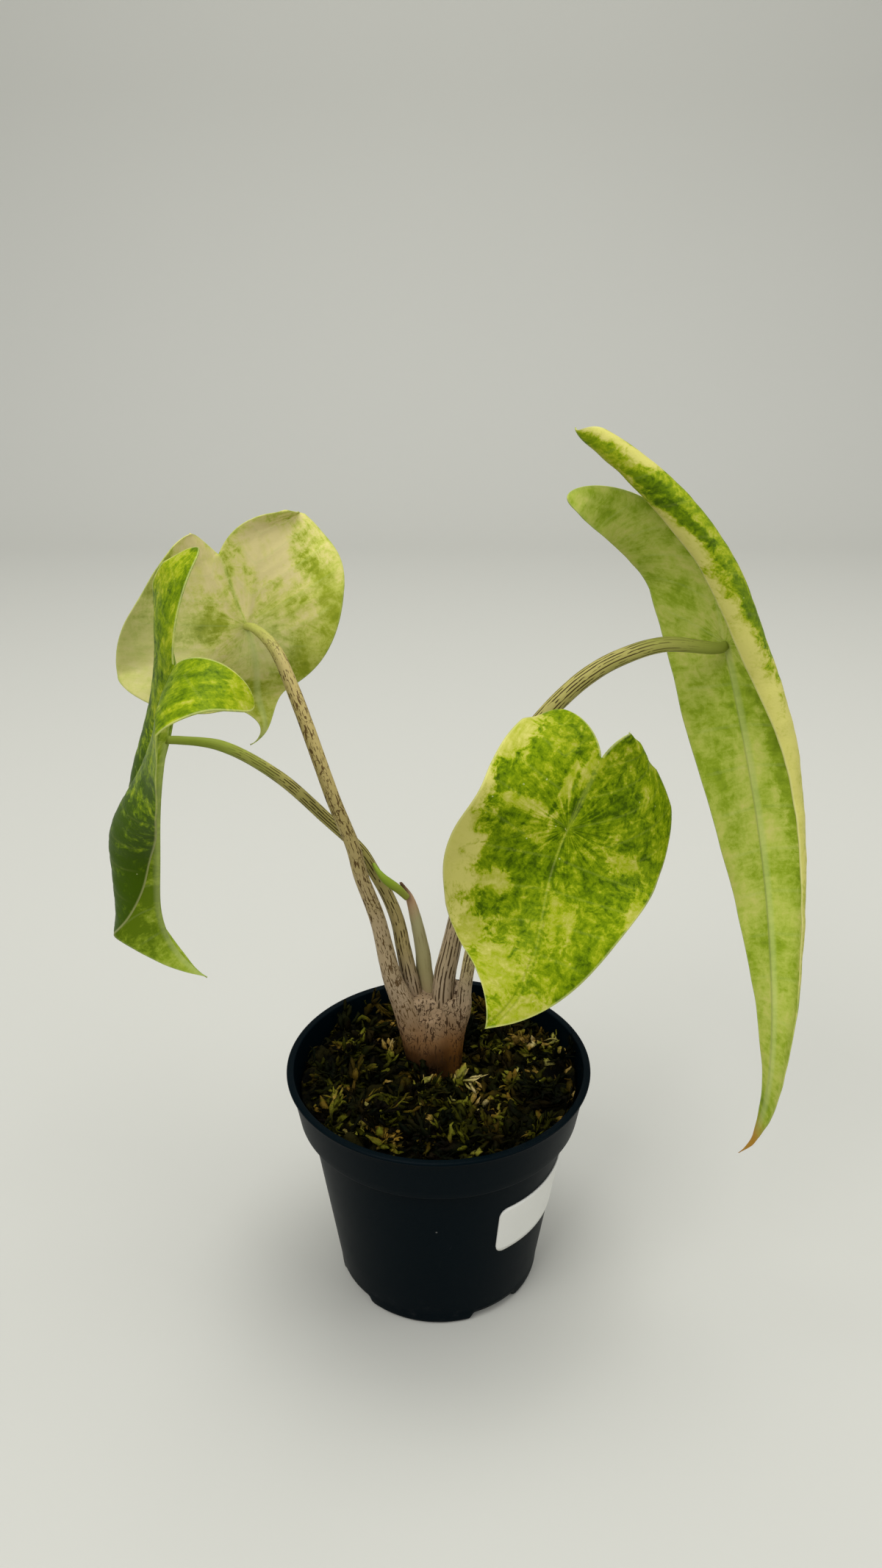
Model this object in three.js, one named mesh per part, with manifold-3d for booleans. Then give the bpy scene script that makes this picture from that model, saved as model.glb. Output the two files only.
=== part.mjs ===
// A variegated alocasia longiloba in a small round nursery pot.
// Millimetres, +Z up. The origin is the centre of the pot's foot, and its front faces -Y.
import * as THREE from 'three';
import { mergeVertices } from 'three/addons/utils/BufferGeometryUtils.js';
import Module from 'manifold-3d';

const wasm = await Module();
wasm.setup();

// Clear gap between pieces that touch on the real plant
const GAP = 0.3;

// Pot
const POT_HEIGHT = 80.6;
const RIM_RADIUS = 50;
const LIP_HEIGHT = 1.2;
const COLLAR_TOP_RADIUS = 48.9;
const COLLAR_FOOT_RADIUS = 46.3;
const COLLAR_DEPTH = 16.5;
const BODY_TOP_RADIUS = 43;
const BODY_FOOT_RADIUS = 34.6;
const FOOT_ROUNDING = 5.2;
const WALL = 1.2;
const POT_SIDES = 48;

// Notches under the pot's edge that let water out
const NOTCHES = 4;
const NOTCH_FIRST_AZIMUTH = 33.5;
const NOTCH_WIDTH = 19;
const NOTCH_INNER_RADIUS = 27;
const NOTCH_HEIGHT = 3.5;

// Blank sticker on the pot's side, just under the collar
const LABEL_FROM_AZIMUTH = 28;
const LABEL_TO_AZIMUTH = 85;
const LABEL_FOOT = 31;
const LABEL_TOP = 50.5;
const LABEL_CORNER = 3;
const LABEL_THICKNESS = 0.5;

// Potting mix and the moss that covers it
const SOIL_TOP = 69;
const MOSS_TOP = 74.5;
const MOSS_SLOPE = 0.045;
const MOSS_BUMP = 1.1;
const MOSS_RADIUS = 45.8;
const MOSS_RINGS = [0, 12, 18, 24, 30, 36, 41, 45.8];
const MOSS_STRANDS = 62;
const MOSS_SEED = 21;
const STRAND_RING = [14, 41];
const STRAND_LENGTH = [4, 10];
const STRAND_RADII = [0.6, 0.25];
const STRAND_ROOT = 1.6;
const MOSS_EDGE_DRAFT = 1.1;

// Crown, where the leaf bases are grown together
const CROWN_X = -1.7;
const CROWN_Y = 6.5;
const CROWN_RADIUS = 8.3;
const CROWN_FOOT = 62.3;
const CROWN_SHOULDER = 79;
const CROWN_TOP = 106;
const CROWN_HOLE_RADIUS = 8.7;
const CROWN_SIDES = 20;

// Blades
const BLADE_HALF_THICKNESS = 0.35;
const MIDRIB_DEPTH = 1.1;
const NARROW_ROW = 3.5;

// A blade starts at the point where its petiole meets it. tip is the way its midrib sets off there,
// and face the way its upper side looks. Each half has a lobe behind that point, a widest place and a
// margin. Stations are pairs of a share of the front length and an angle in degrees.
const LEAVES = {
  front: {
    at: [36, -27.5, 178.5],
    tip: [-40, -15, -91],
    face: [-8, -98, 20],
    length: 61.5,
    sinus: 21.5,
    taper: 1.58,
    point: 1.15,
    shoulder: 1.2,
    notch: 1.15,
    rows: 14,
    droop: [[0, 0], [0.5, -22], [1, -8]],
    sway: [[0, 0], [0.5, -13], [1, 31]],
    twist: [[0, 0], [1, 0]],
    right: {
      lobe: 35, width: 31, widest: 0.42, lobeAt: 0.62,
      drop: 19, swing: 16, roll: 18, flat: 0,
      fold: [[-0.6, -30], [0, 14], [0.5, -15], [1, 0]],
      curl: [[-0.6, -50], [0, 6], [0.5, -33], [1, 0]],
    },
    left: {
      lobe: 34, width: 39, widest: -0.13, lobeAt: 0.16,
      drop: 9, swing: 27, roll: -4, flat: 0,
      fold: [[-0.6, -30], [0, -8], [0.5, 2], [1, 0]],
      curl: [[-0.6, -35], [0, -50], [0.5, -5], [1, 0]],
    },
  },
  right: {
    at: [87, 20, 217.5],
    tip: [30, 3, -95],
    face: [77, 58, 26],
    length: 178.5,
    sinus: 19,
    taper: 1.35,
    point: 1.45,
    shoulder: 1.95,
    notch: 1.15,
    rows: 22,
    droop: [[0, 0], [0.5, 31], [1, -2]],
    sway: [[0, 0], [0.5, 22], [1, -43]],
    twist: [[0, 0], [0.5, -5], [1, 37]],
    right: {
      lobe: 86, width: 29.5, widest: 0.14, lobeAt: 0.37,
      drop: 39, swing: -26, roll: -4, flat: 0.41,
      fold: [[-0.5, -47], [0, 4], [0.5, 13], [1, -8]],
      curl: [[-0.5, -199], [0, -150], [0.5, -84], [1, -2]],
    },
    left: {
      lobe: 82, width: 23, widest: 0.11, lobeAt: 0.54,
      drop: 58, swing: 29, roll: -34, flat: 0,
      fold: [[-0.5, -26], [0, -5], [0.5, 4], [1, 0]],
      curl: [[-0.5, -23], [0, -11], [0.5, -8], [1, 0]],
    },
  },
  left: {
    at: [-76.5, -16.5, 200.5],
    tip: [-26, 17, -95],
    face: [-90, -39, 17],
    length: 91.5,
    sinus: 22.5,
    taper: 1.6,
    point: 1.33,
    shoulder: 2.07,
    notch: 0.68,
    rows: 20,
    droop: [[0, 0], [0.33, 7], [0.66, 13], [1, 56]],
    sway: [[0, 0], [0.33, -7], [0.66, 2], [1, -63]],
    twist: [[0, 0], [0.33, 1], [0.66, -3], [1, 59]],
    right: {
      lobe: 55.5, width: 33, widest: 0.14, lobeAt: 0.53,
      drop: 38, swing: 24, roll: -4, flat: 0.14,
      fold: [[-0.5, 22], [0, 18], [0.35, 50], [0.7, 54], [0.87, 37], [1, 25]],
      curl: [[-0.5, -8], [0, -84], [0.35, -138], [0.7, -90], [0.87, -57], [1, 6]],
    },
    left: {
      lobe: 47.5, width: 36, widest: 0.21, lobeAt: 0.68,
      drop: 83, swing: 20, roll: -35, flat: 0.19,
      fold: [[-0.5, 20], [0, 36], [0.35, 89], [0.7, 83], [0.87, 56], [1, 30]],
      curl: [[-0.5, 14], [0, -58], [0.35, -188], [0.7, -41], [0.87, 25], [1, 21]],
    },
  },
  back: {
    at: [-62, 45, 216],
    tip: [27, 7, -96],
    face: [-60, 79, -11],
    length: 47,
    sinus: 24.5,
    taper: 1.89,
    point: 2.28,
    shoulder: 1.42,
    notch: 0.95,
    rows: 14,
    droop: [[0, 0], [0.5, -24], [0.75, 35], [1, -48]],
    sway: [[0, 0], [0.5, -6], [0.75, -26], [1, -80]],
    twist: [[0, 0], [0.6, -17], [1, -36]],
    right: {
      lobe: 39.5, width: 36.5, widest: -0.22, lobeAt: 0.85,
      drop: 25, swing: 20, roll: 2, flat: 0,
      fold: [[-0.6, -17], [0, -20], [0.5, -25], [1, 0]],
      curl: [[-0.6, 40], [0, -13], [0.5, -40], [1, 0]],
    },
    left: {
      lobe: 33, width: 45.5, widest: 0.03, lobeAt: 0.29,
      drop: 6, swing: -18, roll: -20, flat: 0,
      fold: [[-0.6, -3], [0, -10], [0.5, 24], [1, 0]],
      curl: [[-0.6, -26], [0, 40], [0.5, -26], [1, 0]],
    },
  },
};
const LOBE_ROWS = 5;
const LOBE_CROWDING = 1.4;
const BLADE_COLUMNS = [0, 0.12, 0.27, 0.45, 0.64, 0.83, 1];

// Petioles: the way each goes from the crown to its blade, and its radius at the foot of the crown,
// at the crown's top and at the blade
const PETIOLES = {
  back: {
    radii: [5.2, 3, 1.8],
    path: [
      [-5, 5, 77.5], [-8.5, 5, 89.5], [-11.5, 5, 99.5], [-15, 5, 109.5], [-19.5, 4, 132.5],
      [-24, 3, 147.5], [-26.5, 3, 158.5], [-31.5, 3, 173], [-37, 7, 188.5], [-43.5, 14, 204.5],
      [-49.5, 23, 214.5],
    ],
  },
  left: {
    radii: [4.6, 2.7, 1.6],
    path: [
      [-3.5, 9, 76], [-5.5, 9.5, 88], [-8, 10, 97.5], [-9.5, 10, 106.5], [-11.5, 10, 117.5],
      [-13.5, 10.5, 128.5], [-17, 11, 138], [-21, 11, 146.5], [-24.5, 11, 153.5], [-35.5, 9, 167],
      [-47.5, 1, 183.5], [-61.5, -12, 198],
    ],
  },
  right: {
    radii: [5, 3.3, 2.3],
    path: [
      [1, 7, 77], [1.5, 7, 91], [2, 7.5, 108], [4, 8, 118.5], [6, 8, 128.5], [10, 8, 147],
      [15.5, 8, 167], [22.5, 8.5, 186.5], [32.5, 9.5, 201.5], [44, 11, 214.5], [55, 13, 218.5],
      [67, 15, 220],
    ],
  },
  front: {
    radii: [3.2, 2.3, 1.8],
    path: [
      [4, 5, 78], [6, 4, 90], [8, 3, 98], [8.5, 2.5, 106.5], [9.5, 1, 116], [11.5, -1.5, 128.5],
      [14.5, -5.5, 142.5], [20.5, -12, 159.5], [27, -19, 172.5],
    ],
  },
};
const PETIOLE_ARRIVAL = 6;
const PETIOLE_SIDES = 10;

// Papery sheath and the next leaf, still rolled up beside it
const SHEATH = {
  radii: [4, 2.5, 0.45],
  path: [[-1, 9.5, 78], [-2.5, 11, 92], [-4.5, 12, 106], [-5.5, 11.7, 117], [-7.5, 11, 128.5],
    [-9.5, 10.5, 136.5], [-12, 10.2, 141.5]],
};
const NEW_LEAF = {
  radii: [0.9, 1.1, 0.35],
  path: [[-10, 8, 137.4], [-12.5, 7.4, 140.5], [-15.5, 6.8, 143.5], [-17.5, 6.4, 146], [-19.5, 6.2, 149.5],
    [-21.5, 6.2, 153], [-23.5, 6.4, 156.5]],
};

const COLOURS = {
  pot: 0x17191c,
  label: 0xf4f2ee,
  soil: 0x1f1712,
  moss: 0x5b5a22,
  crown: 0x9a7455,
  petiole: 0x9c8a5a,
  sheath: 0xb6b184,
  new_leaf: 0x6f9a3a,
  leaf_front: 0x8aa83a,
  leaf_right: 0x9aa458,
  leaf_left: 0x7c9c34,
  leaf_back: 0xb4b46a,
};

// Seeded random numbers from 0 to 1
function randomFrom(seed) {
  let state = seed;
  return () => {
    state = (state * 1664525 + 1013904223) % 4294967296;
    return state / 4294967296;
  };
}

// Smooth value at x through a few stations [x, value], level beyond the first and the last
function eased(x, stations) {
  const last = stations.length - 1;
  const at = THREE.MathUtils.clamp(x, stations[0][0], stations[last][0]);
  const slope = (k) => (stations[k + 1][1] - stations[k][1]) / (stations[k + 1][0] - stations[k][0]);
  const bend = (k) => {
    if (k === 0) return slope(0);
    return k === last ? slope(last - 1) : (slope(k - 1) + slope(k)) / 2;
  };
  let k = 0;
  while (k < last - 1 && at >= stations[k + 1][0]) k += 1;
  const span = stations[k + 1][0] - stations[k][0];
  const t = (at - stations[k][0]) / span;
  const arrive = t * t * (3 - 2 * t);
  return stations[k][1] * (1 - arrive) + stations[k + 1][1] * arrive
    + bend(k) * span * t * (1 - t) ** 2 - bend(k + 1) * span * t * t * (1 - t);
}

const radians = (degrees) => THREE.MathUtils.degToRad(degrees);

// Geometry of a closed body from points and triangles, without collapsed triangles, faces out
function bodyOf(points, triangles) {
  const kept = triangles.filter(([a, b, c]) => a !== b && b !== c && c !== a);
  const volume = kept.reduce((sum, [a, b, c]) => {
    const side = new THREE.Vector3().crossVectors(points[b], points[c]);
    return sum + points[a].dot(side);
  }, 0);
  const faces = volume < 0 ? kept.map(([a, b, c]) => [a, c, b]) : kept;
  const geometry = new THREE.BufferGeometry();
  const numbers = points.flatMap((p) => [p.x, p.y, p.z]);
  geometry.setAttribute('position', new THREE.Float32BufferAttribute(numbers, 3));
  geometry.setIndex(faces.flat());
  return geometry;
}

// The same for a geometry class whose vertices are still split at its seams
function welded(source) {
  source.deleteAttribute('normal');
  source.deleteAttribute('uv');
  const merged = mergeVertices(source, 1e-4);
  const place = merged.attributes.position;
  const points = [];
  for (let k = 0; k < place.count; k += 1) points.push(new THREE.Vector3().fromBufferAttribute(place, k));
  const triangles = [];
  for (let k = 0; k < merged.index.count; k += 3) {
    triangles.push([merged.index.getX(k), merged.index.getX(k + 1), merged.index.getX(k + 2)]);
  }
  return bodyOf(points, triangles);
}

function solidOf(geometry) {
  return new wasm.Manifold(new wasm.Mesh({
    numProp: 3,
    vertProperties: new Float32Array(geometry.attributes.position.array),
    triVerts: new Uint32Array(geometry.index.array),
  }));
}

function geometryOf(solid) {
  const mesh = solid.getMesh();
  const points = [];
  for (let k = 0; k < mesh.vertProperties.length; k += mesh.numProp) {
    points.push(new THREE.Vector3().fromArray(mesh.vertProperties, k));
  }
  const triangles = [];
  for (let k = 0; k < mesh.triVerts.length; k += 3) triangles.push(Array.from(mesh.triVerts.slice(k, k + 3)));
  return bodyOf(points, triangles);
}

// A body turned about the upright axis from a closed outline of [radius, height]
function turned(outline, sides) {
  const profile = outline.map(([radius, height]) => new THREE.Vector2(radius, height));
  return welded(new THREE.LatheGeometry(profile, sides).rotateX(Math.PI / 2));
}

function uprightRod(x, y, radius, foot, top, sides) {
  const rod = new THREE.CylinderGeometry(radius, radius, top - foot, sides);
  return welded(rod.rotateX(Math.PI / 2).translate(x, y, (foot + top) / 2));
}

// A closed round stem along a smooth path, between two shares of its length. radii are stations
// [share, radius], and the section is carried along without turning about the path.
function stem(curve, radii, from, to, sides, steps) {
  const points = [];
  const triangles = [];
  let across = null;
  for (let k = 0; k <= steps; k += 1) {
    const share = Math.min(1, from + ((to - from) * k) / steps);
    const centre = curve.getPointAt(share);
    const along = curve.getTangentAt(share);
    across = across || new THREE.Vector3(1, 0, 0);
    across.addScaledVector(along, -across.dot(along)).normalize();
    const beside = new THREE.Vector3().crossVectors(along, across);
    const radius = eased(share, radii);
    for (let s = 0; s < sides; s += 1) {
      const angle = (2 * Math.PI * s) / sides;
      points.push(centre.clone()
        .addScaledVector(across, radius * Math.cos(angle))
        .addScaledVector(beside, radius * Math.sin(angle)));
    }
  }
  for (let k = 0; k < steps; k += 1) {
    for (let s = 0; s < sides; s += 1) {
      const a = k * sides + s;
      const b = k * sides + ((s + 1) % sides);
      triangles.push([a, b, b + sides], [a, b + sides, a + sides]);
    }
  }
  for (let s = 1; s < sides - 1; s += 1) {
    triangles.push([0, s + 1, s]);
    triangles.push([steps * sides, steps * sides + s, steps * sides + s + 1]);
  }
  return bodyOf(points, triangles);
}

// A closed plate from a sheet of points and triangles, thickened along the sheet's own normals by
// above(k) and below(k) at point k. Both faces share one triangulation.
function plate(points, triangles, above, below) {
  const normals = points.map(() => new THREE.Vector3());
  const sheet = triangles.filter(([a, b, c]) => a !== b && b !== c && c !== a);
  sheet.forEach(([a, b, c]) => {
    const ab = points[b].clone().sub(points[a]);
    const ac = points[c].clone().sub(points[a]);
    const facing = ab.cross(ac);
    [a, b, c].forEach((k) => normals[k].add(facing));
  });
  normals.forEach((n) => n.normalize());
  const count = points.length;
  const upper = points.map((p, k) => p.clone().addScaledVector(normals[k], above(k)));
  const lower = points.map((p, k) => p.clone().addScaledVector(normals[k], -below(k)));
  const edges = new Set(sheet.flatMap(([a, b, c]) => [`${a},${b}`, `${b},${c}`, `${c},${a}`]));
  const faces = [];
  sheet.forEach(([a, b, c]) => {
    faces.push([a, b, c], [a + count, c + count, b + count]);
    [[a, b], [b, c], [c, a]].forEach(([from, to]) => {
      if (edges.has(`${to},${from}`)) return;
      faces.push([to, from, from + count], [to, from + count, to + count]);
    });
  });
  const used = new Map();
  const kept = [];
  const all = upper.concat(lower);
  const renamed = faces.map((face) => face.map((k) => {
    if (!used.has(k)) {
      used.set(k, kept.length);
      kept.push(all[k]);
    }
    return used.get(k);
  }));
  return bodyOf(kept, renamed);
}

// Axes of a blade at its petiole: across towards the right half, along to the tip, up off the face
function bladeAxes(leaf) {
  const along = new THREE.Vector3(...leaf.tip).normalize();
  const up = new THREE.Vector3(...leaf.face);
  up.addScaledVector(along, -up.dot(along)).normalize();
  const across = new THREE.Vector3().crossVectors(along, up);
  return new THREE.Matrix4().makeBasis(across, along, up);
}

function turnedAxes(axes, swing, droop, roll) {
  return axes.clone()
    .multiply(new THREE.Matrix4().makeRotationZ(radians(swing)))
    .multiply(new THREE.Matrix4().makeRotationX(radians(droop)))
    .multiply(new THREE.Matrix4().makeRotationY(radians(roll)));
}

// Places and axes along the midrib and the lobe's spine, one for each row of a half blade
function spineOf(leaf, half, side, rows) {
  const base = bladeAxes(leaf);
  const start = new THREE.Vector3(...leaf.at);
  const axesAt = (y) => {
    if (y >= 0) {
      const share = y / leaf.length;
      return turnedAxes(base, -eased(share, leaf.sway), -eased(share, leaf.droop), eased(share, leaf.twist));
    }
    const share = Math.max(0, (-y - leaf.sinus) / (half.lobe - leaf.sinus));
    return turnedAxes(base, side * half.swing * share, half.drop * share, -side * half.roll * share);
  };
  const placeAt = (y) => {
    const steps = 1 + Math.ceil(Math.abs(y) / 1.5);
    const place = start.clone();
    const along = new THREE.Vector3();
    for (let k = 0; k < steps; k += 1) {
      along.setFromMatrixColumn(axesAt((y * (k + 0.5)) / steps), 1);
      place.addScaledVector(along, y / steps);
    }
    return place;
  };
  return rows.map((y) => ({ place: placeAt(y), axes: axesAt(y) }));
}

// Inner and outer edge of a half blade at y along its flat outline
function edgesAt(leaf, half, y) {
  const root = (value, power) => Math.max(0, 1 - value ** power);
  const widest = half.widest * leaf.length;
  const lobeX = half.lobeAt * half.width;
  let inner = 0;
  let outer = 0;
  if (y > widest) {
    outer = half.width * root((y - widest) / (leaf.length - widest), leaf.taper) ** leaf.point;
  } else {
    const share = (widest - y) / (widest + half.lobe);
    outer = lobeX + (half.width - lobeX) * Math.sqrt(root(share, leaf.shoulder));
  }
  if (y < -leaf.sinus) {
    const share = (-leaf.sinus - y) / (half.lobe - leaf.sinus);
    inner = lobeX * (1 - Math.sqrt(root(share, leaf.notch)));
  }
  return [inner, outer];
}

// Point of a half blade: straight from the midrib up to the share flat, then curled along an arc
function bladePoint(leaf, half, side, y, x, outer, spine) {
  const fold = radians(eased(y / leaf.length, half.fold));
  const curl = radians(eased(y / leaf.length, half.curl));
  const bend = (Math.abs(curl) < 1e-4 ? 1e-4 : curl) / (1 - half.flat);
  const share = outer > 0 ? x / outer : 0;
  const straight = Math.min(share, half.flat);
  const arc = Math.max(share - half.flat, 0);
  const out = Math.cos(fold) * straight + (Math.sin(fold + bend * arc) - Math.sin(fold)) / bend;
  const up = Math.sin(fold) * straight - (Math.cos(fold + bend * arc) - Math.cos(fold)) / bend;
  const across = new THREE.Vector3().setFromMatrixColumn(spine.axes, 0);
  const over = new THREE.Vector3().setFromMatrixColumn(spine.axes, 2);
  return spine.place.clone()
    .addScaledVector(across, side * outer * out)
    .addScaledVector(over, outer * up);
}

// Rows of a half blade, close together at its lobe and near its tip
function rowsOf(leaf, half) {
  const rows = [];
  const reach = (Math.PI / 2) * 0.9;
  for (let k = 0; k < LOBE_ROWS; k += 1) {
    rows.push(-half.lobe + (half.lobe - leaf.sinus) * (k / LOBE_ROWS) ** LOBE_CROWDING);
  }
  for (let k = 0; k <= leaf.rows; k += 1) {
    rows.push(-leaf.sinus + ((leaf.length + leaf.sinus) * Math.sin((k / leaf.rows) * reach)) / Math.sin(reach));
  }
  rows[0] = -half.lobe * 0.998;
  rows[rows.length - 1] = leaf.length - 0.3;
  return rows;
}

// One blade: two half sheets that share the midrib, thickened, with a raised midrib underneath
function blade(leaf) {
  const points = [];
  const depths = [];
  const triangles = [];
  const columns = BLADE_COLUMNS.length;
  const midrib = [];
  [['right', 1], ['left', -1]].forEach(([key, side]) => {
    const half = leaf[key];
    const rows = rowsOf(leaf, half);
    const spines = spineOf(leaf, half, side, rows);
    const last = rows.length - 1;
    const grid = rows.map((y, r) => {
      const [inner, outer] = edgesAt(leaf, half, y);
      const shared = y >= -leaf.sinus - 1e-6;
      const narrow = outer - inner < NARROW_ROW;
      const names = BLADE_COLUMNS.map((share, c) => {
        if (shared && c === 0 && midrib[r] !== undefined) return midrib[r];
        if (r === last && c > 0) return midrib[last];
        if (narrow && c > 1) return points.length - 1;
        const x = inner + (outer - inner) * (narrow ? Math.min(c, 1) : share);
        points.push(bladePoint(leaf, half, side, y, x, outer, spines[r]));
        const along = y < 0 ? 1 + y / leaf.sinus : 1 - y / leaf.length;
        depths.push(shared && c === 0 ? MIDRIB_DEPTH * THREE.MathUtils.smoothstep(along, 0, 1) : 0);
        if (shared && c === 0) midrib[r] = points.length - 1;
        return points.length - 1;
      });
      return r === 0 ? names.map(() => names[Math.floor(columns / 2)]) : names;
    });
    for (let r = 0; r < last; r += 1) {
      for (let c = 0; c < columns - 1; c += 1) {
        const [a, b, d, e] = [grid[r][c], grid[r][c + 1], grid[r + 1][c + 1], grid[r + 1][c]];
        const short = points[a].distanceTo(points[d]) <= points[b].distanceTo(points[e]);
        const pair = short ? [[a, b, d], [a, d, e]] : [[a, b, e], [b, d, e]];
        triangles.push(...(side > 0 ? pair : pair.map(([i, j, k]) => [i, k, j])));
      }
    }
  });
  return plate(points, triangles, () => BLADE_HALF_THICKNESS, (k) => BLADE_HALF_THICKNESS + depths[k]);
}

// The path of a petiole, which ends square to the underside of its blade
function petioleCurve(name) {
  const leaf = LEAVES[name];
  const up = new THREE.Vector3().setFromMatrixColumn(bladeAxes(leaf), 2);
  const at = new THREE.Vector3(...leaf.at);
  const under = BLADE_HALF_THICKNESS + MIDRIB_DEPTH + GAP;
  const points = PETIOLES[name].path.map((p) => new THREE.Vector3(...p));
  points.push(at.clone().addScaledVector(up, -under - PETIOLE_ARRIVAL));
  points.push(at.clone().addScaledVector(up, -under));
  return new THREE.CatmullRomCurve3(points, false, 'centripetal');
}

// Share of a rising path at which it reaches a height
function shareAt(curve, height) {
  let share = 0;
  while (curve.getPointAt(share).z < height) share += 0.001;
  return share;
}

function curveOf(path) {
  return new THREE.CatmullRomCurve3(path.map((p) => new THREE.Vector3(...p)), false, 'centripetal');
}

function radiiOf(radii, crownShare) {
  return [[0, radii[0]], [crownShare, radii[1]], [1, radii[2]]];
}

// The grown-together leaf bases: a round stub in the soil and a lobe into the foot of each petiole
function crown() {
  let solid = solidOf(uprightRod(CROWN_X, CROWN_Y, CROWN_RADIUS, CROWN_FOOT, CROWN_SHOULDER, CROWN_SIDES));
  const stems = Object.keys(PETIOLES).map((name) => [petioleCurve(name), PETIOLES[name].radii]);
  stems.push([curveOf(SHEATH.path), SHEATH.radii]);
  const wider = (stations) => stations.map(([share, radius]) => [share, radius + GAP]);
  stems.forEach(([curve, radii]) => {
    const top = shareAt(curve, CROWN_TOP);
    solid = solid.add(solidOf(stem(curve, radiiOf(radii, top), 0, top, PETIOLE_SIDES, 6)));
  });
  stems.forEach(([curve, radii]) => {
    const top = shareAt(curve, CROWN_TOP);
    const room = stem(curve, wider(radiiOf(radii, top)), top, top + 0.1, PETIOLE_SIDES, 3);
    solid = solid.subtract(solidOf(room));
  });
  return geometryOf(solid);
}

function petiole(name) {
  const curve = petioleCurve(name);
  const top = shareAt(curve, CROWN_TOP);
  const length = curve.getLength();
  return stem(curve, radiiOf(PETIOLES[name].radii, top), top + GAP / length, 1, PETIOLE_SIDES, 24);
}

function sheath() {
  const curve = curveOf(SHEATH.path);
  const top = shareAt(curve, CROWN_TOP);
  return stem(curve, radiiOf(SHEATH.radii, top), top + GAP / curve.getLength(), 1, 8, 8);
}

function newLeaf() {
  return stem(curveOf(NEW_LEAF.path), radiiOf(NEW_LEAF.radii, 0.5), 0, 1, 8, 8);
}

// Round wall with a lip, a straight collar that overhangs the body, and a flat floor
function pot() {
  const ledge = POT_HEIGHT - COLLAR_DEPTH;
  const lip = POT_HEIGHT - LIP_HEIGHT;
  const foot = [];
  for (let k = 0; k <= 3; k += 1) {
    const angle = (k * Math.PI) / 6;
    foot.push([
      BODY_FOOT_RADIUS - FOOT_ROUNDING * 0.6 * (1 - Math.sin(angle)),
      FOOT_ROUNDING * (1 - Math.cos(angle)),
    ]);
  }
  let solid = solidOf(turned([
    [0, 0], ...foot, [BODY_TOP_RADIUS, ledge], [COLLAR_FOOT_RADIUS, ledge], [COLLAR_TOP_RADIUS, lip],
    [RIM_RADIUS, lip], [RIM_RADIUS, POT_HEIGHT], [COLLAR_TOP_RADIUS - WALL, POT_HEIGHT],
    [COLLAR_FOOT_RADIUS - WALL, ledge + WALL], [BODY_TOP_RADIUS - WALL, ledge + WALL],
    [BODY_FOOT_RADIUS - WALL, FOOT_ROUNDING], [BODY_FOOT_RADIUS - WALL - 2, WALL], [0, WALL],
  ], POT_SIDES));
  for (let k = 0; k < NOTCHES; k += 1) {
    const reach = RIM_RADIUS - NOTCH_INNER_RADIUS;
    const box = new THREE.BoxGeometry(NOTCH_WIDTH, reach, 2 * NOTCH_HEIGHT);
    box.translate(0, -NOTCH_INNER_RADIUS - reach / 2, 0);
    box.rotateZ(radians(NOTCH_FIRST_AZIMUTH + (360 * k) / NOTCHES));
    solid = solid.subtract(solidOf(welded(box)));
  }
  return geometryOf(solid);
}

// Radius of the pot's outer body wall at a height
function bodyRadius(z) {
  const share = (z - FOOT_ROUNDING) / (POT_HEIGHT - COLLAR_DEPTH - FOOT_ROUNDING);
  return BODY_FOOT_RADIUS + (BODY_TOP_RADIUS - BODY_FOOT_RADIUS) * share;
}

// A thin bent rectangle with round corners that follows the pot's cone
function label() {
  const columns = 12;
  const rows = 3;
  const middle = (LABEL_FOOT + LABEL_TOP) / 2;
  const width = radians(LABEL_TO_AZIMUTH - LABEL_FROM_AZIMUTH) * bodyRadius(middle);
  const points = [];
  const triangles = [];
  for (let c = 0; c <= columns; c += 1) {
    const share = 0.5 - 0.5 * Math.cos((Math.PI * c) / columns);
    const fromEnd = Math.min(share, 1 - share) * width;
    const cut = Math.max(0, LABEL_CORNER - fromEnd);
    const drop = LABEL_CORNER - Math.sqrt(LABEL_CORNER ** 2 - cut ** 2);
    const halfHeight = (LABEL_TOP - LABEL_FOOT) / 2 - drop;
    const azimuth = radians(LABEL_FROM_AZIMUTH + (LABEL_TO_AZIMUTH - LABEL_FROM_AZIMUTH) * share);
    for (let r = 0; r <= rows; r += 1) {
      const z = middle + halfHeight * ((2 * r) / rows - 1);
      const radius = bodyRadius(z) + GAP;
      points.push(new THREE.Vector3(radius * Math.sin(azimuth), -radius * Math.cos(azimuth), z));
    }
  }
  for (let c = 0; c < columns; c += 1) {
    for (let r = 0; r < rows; r += 1) {
      const a = c * (rows + 1) + r;
      const b = a + rows + 1;
      triangles.push([a, b, b + 1], [a, b + 1, a + 1]);
    }
  }
  return plate(points, triangles, () => LABEL_THICKNESS, () => 0);
}

// Potting mix that fills the pot up to the moss, with a hole for the crown
function soil() {
  const ledge = POT_HEIGHT - COLLAR_DEPTH + WALL;
  const inner = (radius) => radius - WALL - 2 * GAP;
  const solid = solidOf(turned([
    [0, WALL + GAP], [inner(BODY_FOOT_RADIUS) - 2, WALL + GAP], [inner(BODY_FOOT_RADIUS), FOOT_ROUNDING + GAP],
    [inner(BODY_TOP_RADIUS), ledge + GAP], [inner(COLLAR_FOOT_RADIUS), ledge + GAP],
    [inner(COLLAR_FOOT_RADIUS) + 0.8, SOIL_TOP], [0, SOIL_TOP],
  ], POT_SIDES));
  const hole = uprightRod(CROWN_X, CROWN_Y, CROWN_HOLE_RADIUS, CROWN_FOOT - GAP, SOIL_TOP + 5, CROWN_SIDES);
  return geometryOf(solid.subtract(solidOf(hole)));
}

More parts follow.
